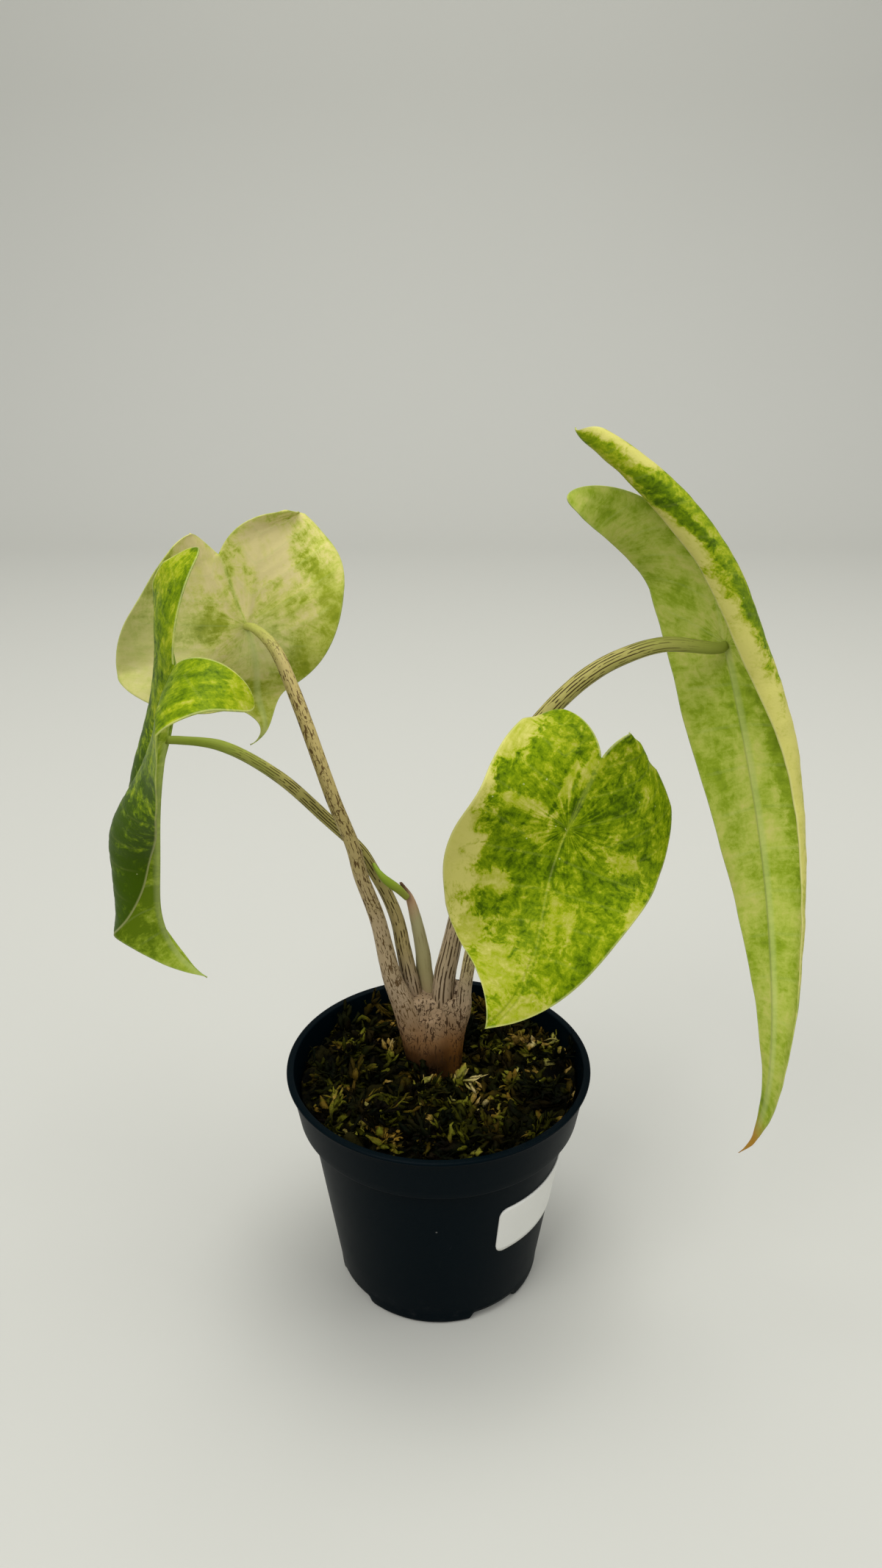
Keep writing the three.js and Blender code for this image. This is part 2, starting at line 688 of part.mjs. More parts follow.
// Height of the moss: higher at the front, with cushions
function mossHeight(x, y) {
  const cushions = Math.sin(0.42 * x + 0.8) * Math.cos(0.37 * y - 0.5)
    + 0.6 * Math.sin(0.71 * x - 0.55 * y + 2.1);
  return MOSS_TOP - MOSS_SLOPE * y + MOSS_BUMP * cushions;
}

// One moss strand: a thin three-sided bent blade rooted in the cushion
function mossStrand(random) {
  const azimuth = 2 * Math.PI * random();
  const between = ([low, high], share) => low + (high - low) * share;
  const radius = between(STRAND_RING, Math.sqrt(random()));
  const x = radius * Math.cos(azimuth);
  const y = radius * Math.sin(azimuth);
  const length = between(STRAND_LENGTH, random());
  const lean = 2 * Math.PI * random();
  const rise = 0.35 + 0.6 * random();
  const reach = Math.min(length * (1 - 0.5 * rise), MOSS_RADIUS - 1.5 - radius + length * 0.2);
  const foot = new THREE.Vector3(x, y, mossHeight(x, y) - STRAND_ROOT);
  const top = foot.clone();
  top.add(new THREE.Vector3(reach * Math.cos(lean), reach * Math.sin(lean), STRAND_ROOT + length * rise));
  const bend = foot.clone().lerp(top, 0.5).add(new THREE.Vector3(0, 0, 1 + 1.5 * random()));
  const curve = new THREE.CatmullRomCurve3([foot, bend, top], false, 'centripetal');
  return stem(curve, [[0, STRAND_RADII[0]], [1, STRAND_RADII[1]]], 0, 1, 3, 4);
}

// Moss cushion over the soil, open round the crown, with loose strands
function moss() {
  const foot = SOIL_TOP + GAP;
  const points = [new THREE.Vector3(0, 0, mossHeight(0, 0))];
  const triangles = [];
  const rings = MOSS_RINGS.slice(1);
  rings.forEach((radius) => {
    for (let s = 0; s < POT_SIDES; s += 1) {
      const angle = (2 * Math.PI * s) / POT_SIDES;
      const x = radius * Math.cos(angle);
      const y = radius * Math.sin(angle);
      points.push(new THREE.Vector3(x, y, mossHeight(x, y)));
    }
  });
  for (let s = 0; s < POT_SIDES; s += 1) {
    const angle = (2 * Math.PI * s) / POT_SIDES;
    const edge = MOSS_RADIUS - MOSS_EDGE_DRAFT;
    points.push(new THREE.Vector3(edge * Math.cos(angle), edge * Math.sin(angle), foot));
  }
  points.push(new THREE.Vector3(0, 0, foot));
  for (let s = 0; s < POT_SIDES; s += 1) {
    const next = (s + 1) % POT_SIDES;
    triangles.push([0, 1 + s, 1 + next]);
    for (let r = 0; r < rings.length; r += 1) {
      const [a, b] = [1 + r * POT_SIDES + s, 1 + r * POT_SIDES + next];
      triangles.push([a, a + POT_SIDES, b + POT_SIDES], [a, b + POT_SIDES, b]);
    }
    const start = 1 + rings.length * POT_SIDES;
    triangles.push([start + s, points.length - 1, start + next]);
  }
  let solid = solidOf(bodyOf(points, triangles));
  const random = randomFrom(MOSS_SEED);
  for (let k = 0; k < MOSS_STRANDS; k += 1) {
    const strand = mossStrand(random);
    solid = solid.add(solidOf(strand));
  }
  const hole = uprightRod(
    CROWN_X, CROWN_Y, CROWN_HOLE_RADIUS + GAP, foot - 5, MOSS_TOP + 20, CROWN_SIDES,
  );
  return geometryOf(solid.subtract(solidOf(hole)));
}

function finished(name, geometry, colour, roughness) {
  geometry.computeVertexNormals();
  const material = new THREE.MeshStandardMaterial({ color: colour, roughness, metalness: 0, flatShading: true });
  const mesh = new THREE.Mesh(geometry, material);
  mesh.name = name;
  return mesh;
}

const plant = new THREE.Group();
plant.add(finished('pot', pot(), COLOURS.pot, 0.45));
plant.add(finished('label', label(), COLOURS.label, 0.6));
plant.add(finished('soil', soil(), COLOURS.soil, 1));
plant.add(finished('moss', moss(), COLOURS.moss, 1));
plant.add(finished('crown', crown(), COLOURS.crown, 0.7));
plant.add(finished('sheath', sheath(), COLOURS.sheath, 0.7));
plant.add(finished('new_leaf', newLeaf(), COLOURS.new_leaf, 0.5));
Object.keys(PETIOLES).forEach((name) => {
  plant.add(finished(`petiole_${name}`, petiole(name), COLOURS.petiole, 0.6));
  plant.add(finished(`leaf_${name}`, blade(LEAVES[name]), COLOURS[`leaf_${name}`], 0.5));
});

export default plant;
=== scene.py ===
"""Looks of a young variegated alocasia in a round black nursery pot.

Lengths are in millimetres, as the plant was measured, and become metres in Skin.piece. Only the studio at the
end is laid out in metres.
"""

import math
from collections import namedtuple
from types import SimpleNamespace as Table

import bpy
import numpy as np
from mathutils import Euler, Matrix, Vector


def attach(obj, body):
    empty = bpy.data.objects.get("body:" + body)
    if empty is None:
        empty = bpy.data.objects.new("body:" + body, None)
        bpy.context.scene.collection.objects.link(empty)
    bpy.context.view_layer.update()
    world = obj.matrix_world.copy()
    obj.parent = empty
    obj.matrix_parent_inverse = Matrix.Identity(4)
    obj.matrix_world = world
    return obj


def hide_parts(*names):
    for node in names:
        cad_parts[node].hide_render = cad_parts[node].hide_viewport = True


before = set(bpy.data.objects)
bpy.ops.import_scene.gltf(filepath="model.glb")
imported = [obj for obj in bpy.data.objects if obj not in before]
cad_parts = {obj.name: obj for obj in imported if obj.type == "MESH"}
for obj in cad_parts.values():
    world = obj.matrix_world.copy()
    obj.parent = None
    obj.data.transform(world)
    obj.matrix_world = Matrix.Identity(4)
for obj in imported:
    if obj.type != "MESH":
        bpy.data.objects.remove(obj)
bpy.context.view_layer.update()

MM = 0.001
TURN = 2 * math.pi
UP = np.array([0.0, 0.0, 1.0])

# Camera, worked out from the pot's rim
CAMERA_PLACE = (0.8, -322.1, 317.7)
CAMERA_DOWN = 23.13
CAMERA_LENS = 27.0
CAMERA_SENSOR = 36.0

# Pot: radii of its parts, and depths and heights
POT_HEIGHT = 80.6
RIM = 50.0
LIP_HEIGHT = 1.2
COLLAR_TOP = 48.9
COLLAR_FOOT = 46.3
COLLAR_DEPTH = 16.5
BODY_TOP = 43.0
BODY_FOOT = 34.6
FOOT_ROUNDING = 5.2
WALL = 1.2
POT_EDGE = 0.55
POT_HUB = 0.3
POT_STEP = 2.5
POT_SIDES = 288
NOTCH_FIRST_AZIMUTH = 33.5
NOTCH_WIDTH = 19.0
NOTCH_INNER = 27.0
NOTCH_HEIGHT = 3.5

# Blank sticker: its length is that of its arc at one height, and its two faces stand off the wall
LABEL_AZIMUTHS = (28.0, 85.0)
LABEL_HEIGHTS = (31.0, 50.5)
LABEL_LENGTH_AT = 40.0
LABEL_CORNER = 3.0
LABEL_STANDS = (0.05, 0.5)
LABEL_COLUMNS = 90
LABEL_ROWS = 14

# Moss: strands are count, seed, spans of length, width and rise in radians, and how much they turn
MOSS_TOP = 74.5
MOSS_SLOPE = 0.045
MOSS_BUMP = 1.1
MOSS_RADIUS = 45.8
MOSS_FOOT = 69.3
MOSS_BED_DEPTH = 1.7
MOSS_BED_SIDES = 240
MOSS_BED_RINGS = 62
SHORT_STRANDS = (560, 41, (3.5, 9.0), (0.6, 1.5), (-0.1, 0.8), 1.6)
FRONDS = (
    (215, 42, (8.0, 14.5), (0.6, 1.4), (0.05, 0.75), 1.2),
    (90, 43, (10.0, 18.0), (0.8, 1.9), (0.15, 0.8), 1.2),
)
FROND_LEAF_RINGS = [2, 3, 4, 5, 6, 7]

# Crown: its centre keeps the moss clear, and its outline is taken from its middle
CROWN_CENTRE = (-1.7, 6.5)
CROWN_MIDDLE = np.array([-1.7, 6.9])
CROWN_RADIUS = 8.3
CROWN_FOOT = 62.3
CROWN_SHOULDER = 79.0
CROWN_TOP = 106.0
CROWN_DIP = 12.0
CROWN_SADDLE = 101.0
CROWN_SHARE = 0.22
CROWN_SOFTNESS = 1.1
CROWN_SIDES = 180
CROWN_ROWS = 60
CROWN_LID = np.array([0.96, 0.88, 0.76, 0.62, 0.45, 0.25, 0.02])[:, None]

# Blades: half thicknesses, rows and columns of a half, and the shares of lobe and length where the rows end
BLADE_HALF = 0.3
MARGIN_HALF = 0.16
MIDRIB_DEPTH = 1.1
LOBE_ROWS = 40
FRONT_ROWS = 120
BLADE_COLUMNS = 34
LOBE_TIP = 0.9997
BLADE_TIP = 0.9995
TIP_CROWDING = 0.97
SPINE_STEPS = 900
CURVE_STEPS = 40

# Colours of a blade from least to most green, and of its veins
GREEN_AND_YELLOW = [
    (0.05, (0.46, 0.43, 0.11)), (0.24, (0.335, 0.338, 0.048)), (0.42, (0.25, 0.295, 0.007)),
    (0.58, (0.15, 0.215, 0.002)), (0.8, (0.085, 0.142, 0.001)), (1.0, (0.036, 0.07, 0.001)),
]
# Pale underside: the leaf's own colours, lifted somewhat as painted light that stands in for light shining through
# the blade.
PALE_UNDERSIDE = [
    (0.05, (0.53, 0.46, 0.19)), (0.26, (0.5, 0.5, 0.12)), (0.45, (0.4, 0.46, 0.07)),
    (0.65, (0.25, 0.34, 0.018)), (0.95, (0.12, 0.19, 0.006)),
]
OLIVE_UNDERSIDE = [
    (0.05, (0.57, 0.49, 0.215)), (0.28, (0.5, 0.47, 0.135)), (0.45, (0.39, 0.41, 0.075)),
    (0.65, (0.25, 0.29, 0.02)), (0.95, (0.13, 0.175, 0.006)),
]
VEIN = (0.45, 0.45, 0.13)
UNDER_RIB = (0.4, 0.46, 0.15)

# A half blade: its lobe and width, the share of the length where it is widest, the share of its width where the
# lobe ends, the lobe's turns in degrees, the straight share of a row, and share of length, fold and curl
Half = namedtuple("Half", "lobe width widest lobe_at drop swing roll flat bend")
PLAIN = {"dry": 0.0, "glow": [], "lower": PALE_UNDERSIDE}

# A blade starts at its petiole. tip is the way its midrib sets off there, and face the way its upper side looks.
# droop, sway and twist are pairs of a share of the front length and an angle in degrees. pale and deep, and the
# patches of painted light on the underside, are soft ellipses on the flat blade: centre, half sizes and weight.
LEAVES = {
    "front": Table(
        at=(36, -27.5, 178.5), tip=(-40, -15, -91), face=(-8, -98, 20), length=61.5, sinus=21.5,
        taper=1.58, point=1.15, shoulder=1.2, notch=1.15, veins=9.0, arrival=4.0, seed=5,
        droop=[(0, 0), (0.5, -22), (1, -8)], sway=[(0, 0), (0.5, -13), (1, 31)], twist=[(0, 0), (1, 0)],
        right=Half(35, 31, 0.42, 0.62, 19, 16, 18, 0, [(-0.6, -30, -50), (0, 14, 6), (0.5, -15, -33), (1, 0, 0)]),
        left=Half(
            31.8, 39.5, -0.21, 0.12, -1.2, 16.6, 7.5, 0,
            [(-0.6, -39, -60), (0, -6.5, -44.7), (0.5, 2, -5), (1, 0, 0)],
        ),
        amount=0.61, fan=26.0, stripes=0.5, gloss=0.02, blur=0.3, mottling=1.0, **PLAIN,
        pale=[
            (32, 8, 10, 28, 0.56), (24, 36, 12, 11, 0.36), (9, 46, 9, 11, 0.28), (-4, 53, 8, 6, 0.26),
            (25, -19, 8, 10, 0.42), (15, -20, 9, 9, 0.1), (30, -4, 4.5, 9, 0.4), (14.5, 19, 5.5, 3.5, 0.38),
            (16.5, -2.5, 8, 2.5, 0.28), (5.4, -11, 1.7, 10, 0.32), (2, -17, 1.4, 8, 0.3),
            (-20, 5, 5, 3.5, 0.24), (-5, 24, 4, 9, 0.22), (-27, 20, 3.5, 14, 0.28),
        ],
        deep=[
            (-3, -1, 10, 6, 0.14), (-11, -9, 9, 10, 0.16), (-20, -4, 8, 6, 0.12), (-11, 13, 9, 9, 0.12),
            (22.5, 6, 4, 3.5, 0.17), (13, 8, 7, 3, 0.14), (15.5, 25, 3.5, 4.5, 0.3), (8, 14, 4, 6, 0.1),
        ],
    ),
    "right": Table(
        at=(87, 20, 217.5), tip=(30, 3, -95), face=(77, 58, 26), length=178.5, sinus=19,
        taper=1.35, point=1.45, shoulder=1.95, notch=1.15, veins=13.0, arrival=3.0, seed=9,
        droop=[(0, 0), (0.5, 31), (1, -2)], sway=[(0, 0), (0.5, 22), (1, -43)],
        twist=[(0, 0), (0.5, -5), (1, 37)],
        right=Half(
            86, 29.5, 0.14, 0.37, 39, -26, -4, 0.41,
            [(-0.5, -47, -199), (0, 4, -150), (0.5, 13, -84), (1, -8, -2)],
        ),
        left=Half(82, 23, 0.11, 0.54, 58, 29, -34, 0, [(-0.5, -26, -23), (0, -5, -11), (0.5, 4, -8), (1, 0, 0)]),
        amount=0.51, fan=20.0, stripes=0.3, gloss=0.05, blur=0.4, mottling=0.8, **PLAIN | {"dry": 28.0},
        pale=[
            (27, 0, 5, 36, 0.46), (24, 54, 8, 48, 0.46), (22, 102, 9, 42, 0.36), (9.4, -77, 2.2, 10, 0.46),
            (11, -67, 2.2, 8, 0.46), (24, -42, 3.5, 15, 0.44), (17, -72, 3, 12, 0.1),
        ],
        deep=[
            (19.6, -12, 2, 16, 0.24), (16.5, -62, 1.7, 9, 0.34), (19.3, -46, 1.8, 12, 0.36),
            (11, 34, 4, 30, 0.2),
        ],
    ),
    "left": Table(
        at=(-76.5, -16.5, 200.5), tip=(-26, 17, -95), face=(-90, -39, 17), length=91.5, sinus=22.5,
        taper=1.6, point=1.33, shoulder=2.07, notch=0.68, veins=10.0, arrival=5.0, seed=14,
        droop=[(0, 0), (0.33, 7), (0.66, 13), (1, 56)], sway=[(0, 0), (0.33, -7), (0.66, 2), (1, -63)],
        twist=[(0, 0), (0.33, 1), (0.66, -3), (1, 59)],
        right=Half(
            55.5, 33, 0.14, 0.53, 38, 24, -4, 0.14,
            [(-0.5, 22, -8), (0, 18, -84), (0.35, 50, -138), (0.7, 54, -90), (0.87, 37, -57), (1, 25, 6)],
        ),
        left=Half(
            47.5, 36, 0.21, 0.68, 83, 20, -35, 0.19,
            [(-0.5, 20, 14), (0, 36, -58), (0.35, 89, -188), (0.7, 83, -41), (0.87, 56, 25), (1, 30, 21)],
        ),
        amount=0.66, fan=20.0, stripes=0.65, gloss=0.03, blur=0.4, mottling=0.8, **PLAIN,
        pale=[(-24, -43, 9, 3.5, 0.2), (20, -46, 7, 8, 0.14), (6, -30, 3.5, 18, 0.14)],
        deep=[(-24, 40, 24, 40, 0.4), (20, 30, 20, 30, 0.42), (26, -12, 12, 16, 0.2)],
    ),
    "back": Table(
        at=(-62, 45, 216), tip=(27, 7, -96), face=(-60, 79, -11), length=47, sinus=24.5,
        taper=1.89, point=2.28, shoulder=1.42, notch=0.95, veins=9.0, arrival=5.0, seed=21,
        droop=[(0, 0), (0.5, -24), (0.75, 35), (1, -48)], sway=[(0, 0), (0.5, -6), (0.75, -26), (1, -80)],
        twist=[(0, 0), (0.6, -17), (1, -36)],
        right=Half(
            39.1, 37.4, -0.226, 0.65, 23.6, 20.3, -9.6, 0,
            [(-0.6, -13.9, 39.3), (0, -15.9, -12), (0.5, -29.3, -32), (1, 0, 0)],
        ),
        left=Half(
            32.7, 44.5, 0.031, 0.21, -8, -8.3, -14.2, 0,
            [(-0.6, -4.2, -14.6), (0, -5.8, 47.7), (0.5, 19.9, -30), (1, 0, 0)],
        ),
        amount=0.45, fan=30.0, stripes=0.5, dry=0.0, gloss=0.04, blur=0.5, mottling=1.0, lower=OLIVE_UNDERSIDE,
        pale=[
            (16, -22, 16, 11, 0.38), (-9, -24, 13, 9, 0.34), (-24, 4, 13, 9, 0.2), (-38, -5, 12, 20, 0.16),
            (3, -12, 3, 12, 0.25), (4, 14, 8, 6, 0.12),
        ],
        deep=[(31, 1, 9, 13, 0.2), (20, 12, 9, 8, 0.16), (-13, -6, 8, 5, 0.16), (0, -7, 1.2, 8, 0.25)],
        # painted light: brighter patches on the underside, most of all on its left part, which the lamps leave
        # darker
        glow=[(-32, -4, 16, 26, 0.3), (3, 9, 9, 9, 0.3)],
    ),
}

# Leaf stalks: path and radii (foot, above the crown, blade), then the skin: colours from foot to blade, the share
# where the last one starts, the marks' colour, density, stretch and width, crooked lines and ribs
DASH = (0.03, 0.015, 0.004)
PETIOLES = {
    "back": Table(
        seed=11, radii=(5.2, 3, 1.8),
        path=[
            (-5, 5, 77.5), (-8.5, 5, 89.5), (-11.5, 5, 99.5), (-15, 5, 109.5), (-19.5, 4, 132.5),
            (-24, 3, 147.5), (-26.5, 3, 158.5), (-31.5, 3, 173), (-37, 7, 188.5), (-43.5, 14, 204.5),
            (-49.5, 23, 214.5),
        ],
        low=(0.37, 0.28, 0.16), high=(0.38, 0.3, 0.11), end=(0.36, 0.38, 0.08), end_from=0.9,
        dark=(0.07, 0.036, 0.01), density=0.4, stretch=0.2, width=0.5, worms=0.9, ribs=0, skin_seed=3.0,
    ),
    "left": Table(
        seed=12, radii=(4.6, 2.7, 1.6),
        path=[
            (-3.5, 9, 76), (-5.5, 9.5, 88), (-8, 10, 97.5), (-9.5, 10, 106.5), (-11.5, 10, 117.5),
            (-13.5, 10.5, 128.5), (-17, 11, 138), (-21, 11, 146), (-24.5, 11, 152.5), (-35.5, 9, 165.5),
            (-47.5, 1, 182), (-61.5, -12, 197),
        ],
        low=(0.34, 0.265, 0.11), high=(0.35, 0.31, 0.09), end=(0.25, 0.31, 0.035), end_from=0.84,
        dark=DASH, density=1.25, stretch=0.2, width=0.8, worms=0.0, ribs=15, skin_seed=8.0,
    ),
    "right": Table(
        seed=13, radii=(5, 3.3, 2.3),
        path=[
            (1, 7, 77), (1.5, 7, 91), (2, 7.5, 108), (4, 8, 118.5), (6, 8, 128.5), (10, 8, 147),
            (15.5, 8, 167), (22.5, 8.5, 185), (32.5, 9.5, 199), (44, 11, 210), (55, 13, 215.8),
            (67, 15, 218.7),
        ],
        low=(0.33, 0.25, 0.15), high=(0.35, 0.31, 0.09), end=(0.26, 0.31, 0.04), end_from=0.92,
        dark=DASH, density=1.25, stretch=0.18, width=0.8, worms=0.0, ribs=17, skin_seed=13.0,
    ),
    "front": Table(
        seed=14, radii=(3.2, 2.3, 1.8),
        path=[
            (4, 5, 78), (6, 4, 90), (8, 3, 98), (8.5, 2.5, 106.5), (9.5, 1, 116), (11.5, -1.5, 128.5),
            (14.5, -5.5, 142.5), (20.5, -12, 159.5), (27, -19, 172.5),
        ],
        low=(0.4, 0.31, 0.16), high=(0.38, 0.33, 0.12), end=(0.34, 0.38, 0.09), end_from=0.85,
        dark=DASH, density=1.0, stretch=0.2, width=0.7, worms=0.5, ribs=13, skin_seed=18.0,
    ),
}

SHEATH = Table(
    seed=31, radii=(5.12, 3.2, 0.58),
    path=[
        (-1, 9.5, 78), (-2.5, 11, 92), (-4.5, 12, 106), (-5.5, 11.7, 117), (-7.5, 11, 128.5),
        (-9.5, 10.5, 136.5), (-12, 10.2, 141.5),
    ],
)
NEW_LEAF = Table(
    seed=32, radii=(1.1, 1.4, 0.45),
    path=[
        (-10, 8, 137.4), (-12.5, 7.4, 140.5), (-15.5, 6.9, 143.3), (-17.5, 6.8, 145.3), (-19.2, 7.6, 147.3),
        (-20.6, 9.4, 148.8),
    ],
)


# Curves and surfaces


def unit(vectors):
    """Each vector divided by its length."""
    return vectors / np.maximum(np.linalg.norm(vectors, axis=-1, keepdims=True), 1e-9)


def stacked(*parts):
    """Arrays spread to one shape and joined along a new last axis."""
    return np.stack(np.broadcast_arrays(*parts), -1)


def around(count):
    """Even angles round a circle."""
    return np.linspace(0, TURN, count, endpoint=False)


def closed(number):
    """A grid with its first column again after the last."""
    return np.concatenate([number, number[..., :1]], -1)


def quads_of(number):
    """Four-cornered faces between neighbouring rows and columns of a grid of point numbers."""
    near, far = number[..., :-1, :], number[..., 1:, :]
    return np.stack([near[..., :-1], near[..., 1:], far[..., 1:], far[..., :-1]], -1).reshape(-1, 4)


def eased(x, stations):
    """Smooth curve through pairs of place and value: cubics with the mean slope of the neighbours at each."""
    places, values = np.array(stations, float).T
    slopes = np.diff(values) / np.diff(places)
    slope = np.concatenate([slopes[:1], (slopes[1:] + slopes[:-1]) / 2, slopes[-1:]])
    x = np.clip(x, places[0], places[-1])
    k = np.clip(np.searchsorted(places, x, side="right") - 1, 0, len(places) - 2)
    span = places[k + 1] - places[k]
    t = (x - places[k]) / span
    return (
        values[k] * (2 * t**3 - 3 * t**2 + 1) + slope[k] * span * (t**3 - 2 * t**2 + t)
        + values[k + 1] * (3 * t**2 - 2 * t**3) + slope[k + 1] * span * (t**3 - t**2)
    )


def smooth_step(x, low, high):
    """0 below low, 1 above high, and a cubic in between."""
    t = np.clip((x - low) / (high - low), 0, 1)
    return t * t * (3 - 2 * t)


def ripple(points, seed, wavelength, octaves):
    """Smooth random value near -1 to 1 in space: sums of sines along random ways, each octave half as long."""
    rng = np.random.default_rng(seed)
    total = np.zeros(points.shape[:-1])
    for octave in range(octaves):
        for _ in range(7):
            way = unit(rng.normal(size=3)) * TURN * 2**octave / wavelength * rng.uniform(0.7, 1.3)
            total += np.sin(points @ way + rng.uniform(0, TURN)) / 2**octave
    return total / 4.5


def curve_through(path, count):
    """Points evenly spaced along a centripetal Catmull-Rom curve through the path, and its length."""
    path = np.array(path, float)
    path = np.concatenate([[2 * path[0] - path[1]], path, [2 * path[-1] - path[-2]]])
    knots = np.concatenate([[0], np.cumsum(np.sqrt(np.linalg.norm(np.diff(path, axis=0), axis=1)))])
    pieces = []
    for k in range(1, len(path) - 2):
        t = np.linspace(knots[k], knots[k + 1], CURVE_STEPS, endpoint=False)[:, None]
        blend = lambda p, q, a, b: ((q - t) * a + (t - p) * b) / (q - p)
        k0, k1, k2, k3 = knots[k - 1 : k + 3]
        p0, p1, p2, p3 = path[k - 1 : k + 3]
        a, b, c = blend(k0, k1, p0, p1), blend(k1, k2, p1, p2), blend(k2, k3, p2, p3)
        pieces.append(blend(k1, k2, blend(k0, k2, a, b), blend(k1, k3, b, c)))
    points = np.concatenate(pieces + [path[-2:-1]])
    length = np.concatenate([[0], np.cumsum(np.linalg.norm(np.diff(points, axis=0), axis=1))])
    even = np.linspace(0, length[-1], count)
    return stacked(*(np.interp(even, length, points[:, k]) for k in range(3))), length[-1]


def placed(name, data):
    """A new object with this data, in the scene."""
    made = bpy.data.objects.new(name, data)
    bpy.context.scene.collection.objects.link(made)
    return made


class Skin:
    """Points, faces and per-point marks of one piece, gathered from grids and then made a mesh."""

    def __init__(self):
        self.points, self.sheet, self.marks, self.faces, self.count = [], [], [], [], 0

    def add_points(self, points, sheet, marks):
        """Keeps points with their flat place (two numbers) and marks (three numbers); gives their numbers."""
        shape = points.shape[:-1]
        for kept, new, size in ((self.points, points, 3), (self.sheet, sheet, 2), (self.marks, marks, 3)):
            kept.append(np.broadcast_to(new, shape + (size,)).reshape(-1, size))
        number = self.count + np.arange(np.prod(shape)).reshape(shape)
        self.count += number.size
        return number

    def tube(self, points, sheet, marks):
        """Closed rows of points joined to a tube, with a flat cap on each end."""
        number = self.add_points(points, sheet, marks)
        self.faces += [quads_of(closed(number)), number[:1, ::-1], number[-1:]]
        return self

    def piece(self, name, material, slot, *nodes):
        """Makes the mesh, smooth-shaded, in metres, and hands it to the frame."""
        mesh = bpy.data.meshes.new(name)
        points, sheet, marks = (np.concatenate(kept) for kept in (self.points, self.sheet, self.marks))
        corners = np.concatenate([f.reshape(-1) for f in self.faces]).astype(np.int32)
        sizes = np.concatenate([np.full(len(f), f.shape[1]) for f in self.faces]).astype(np.int32)
        for parts, count, key, values in (
            (mesh.vertices, len(points), "co", points * MM), (mesh.loops, len(corners), "vertex_index", corners),
            (mesh.polygons, len(sizes), "loop_start", (np.cumsum(sizes) - sizes).astype(np.int32)),
        ):
            parts.add(count)
            parts.foreach_set(key, values.reshape(-1))
        mesh.polygons.foreach_set("use_smooth", np.ones(len(sizes), bool))
        mesh.update(calc_edges=True)
        flat = mesh.uv_layers.new(name="flat")
        flat.uv.foreach_set("vector", sheet[corners].astype(np.float32).reshape(-1))
        values = np.concatenate([marks, np.ones((len(marks), 1))], 1).astype(np.float32)
        mesh.color_attributes.new("marks", "FLOAT_COLOR", "POINT").data.foreach_set("color", values.reshape(-1))
        mesh.validate()
        mesh.materials.append(material)
        made = placed(name, mesh)
        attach(made, "root")
        if nodes:
            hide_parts(*nodes)


# Blades


def turn(axis, degrees):
    """Rotation matrices about one axis, one for each angle."""
    c, s = np.cos(np.radians(degrees)), np.sin(np.radians(degrees))
    o, i = np.zeros_like(c), np.ones_like(c)
    rows = {
        "x": [[i, o, o], [o, c, -s], [o, s, c]],
        "y": [[c, o, s], [o, i, o], [-s, o, c]],
        "z": [[c, -s, o], [s, c, o], [o, o, i]],
    }[axis]
    return np.moveaxis(np.array(rows), (0, 1), (-2, -1))


def blade_axes(leaf):
    """Across towards the right half, along to the tip, and up off the face, as the columns of a matrix."""
    along = unit(np.array(leaf.tip, float))
    up = np.array(leaf.face, float)
    up = unit(up - along * (up @ along))
    return stacked(np.cross(along, up), along, up)


def spine(leaf, half, side, y):
    """Places and axes along the midrib (y >= 0) or the lobe (y < 0): the turned along-axis, summed from y = 0."""
    base = blade_axes(leaf)

    def ahead(share):
        sway, droop, twist = (eased(share, stations) for stations in (leaf.sway, leaf.droop, leaf.twist))
        return turn("z", -sway) @ turn("x", -droop) @ turn("y", twist)

    def axes(at):
        back = np.clip((-at - leaf.sinus) / (half.lobe - leaf.sinus), 0, 1)
        behind = turn("z", side * half.swing * back) @ turn("x", half.drop * back)
        behind = ahead(np.zeros(1)) @ (behind @ turn("y", -side * half.roll * back))
        return base @ np.where((at >= 0)[:, None, None], ahead(np.clip(at / leaf.length, 0, 1)), behind)

    steps = np.linspace(-half.lobe, leaf.length, SPINE_STEPS)
    along = axes(steps)[:, :, 1]
    run = np.cumsum((along[1:] + along[:-1]) / 2 * np.diff(steps)[:, None], 0)
    run = np.concatenate([[np.zeros(3)], run])
    run -= np.stack([np.interp(0.0, steps, run[:, k]) for k in range(3)])
    place = stacked(*(np.interp(y, steps, run[:, k]) for k in range(3))) + np.array(leaf.at, float)
    return place, axes(y)


def edges(leaf, half, y):
    """Inner and outer edge of a half blade at y along its flat outline: powers of the share to tip or lobe."""
    widest = half.widest * leaf.length
    lobe_x = half.lobe_at * half.width
    front = np.clip((y - widest) / (leaf.length - widest), 0, 1)
    back = np.clip((widest - y) / (widest + half.lobe), 0, 1)
    outer = np.where(
        y > widest,
        half.width * (1 - front**leaf.taper) ** leaf.point,
        lobe_x + (half.width - lobe_x) * np.sqrt(1 - back**leaf.shoulder),
    )
    notch = np.clip((-leaf.sinus - y) / (half.lobe - leaf.sinus), 0, 1)
    inner = np.where(y < -leaf.sinus, lobe_x * (1 - np.sqrt(1 - notch**leaf.notch)), 0)
    return inner, outer


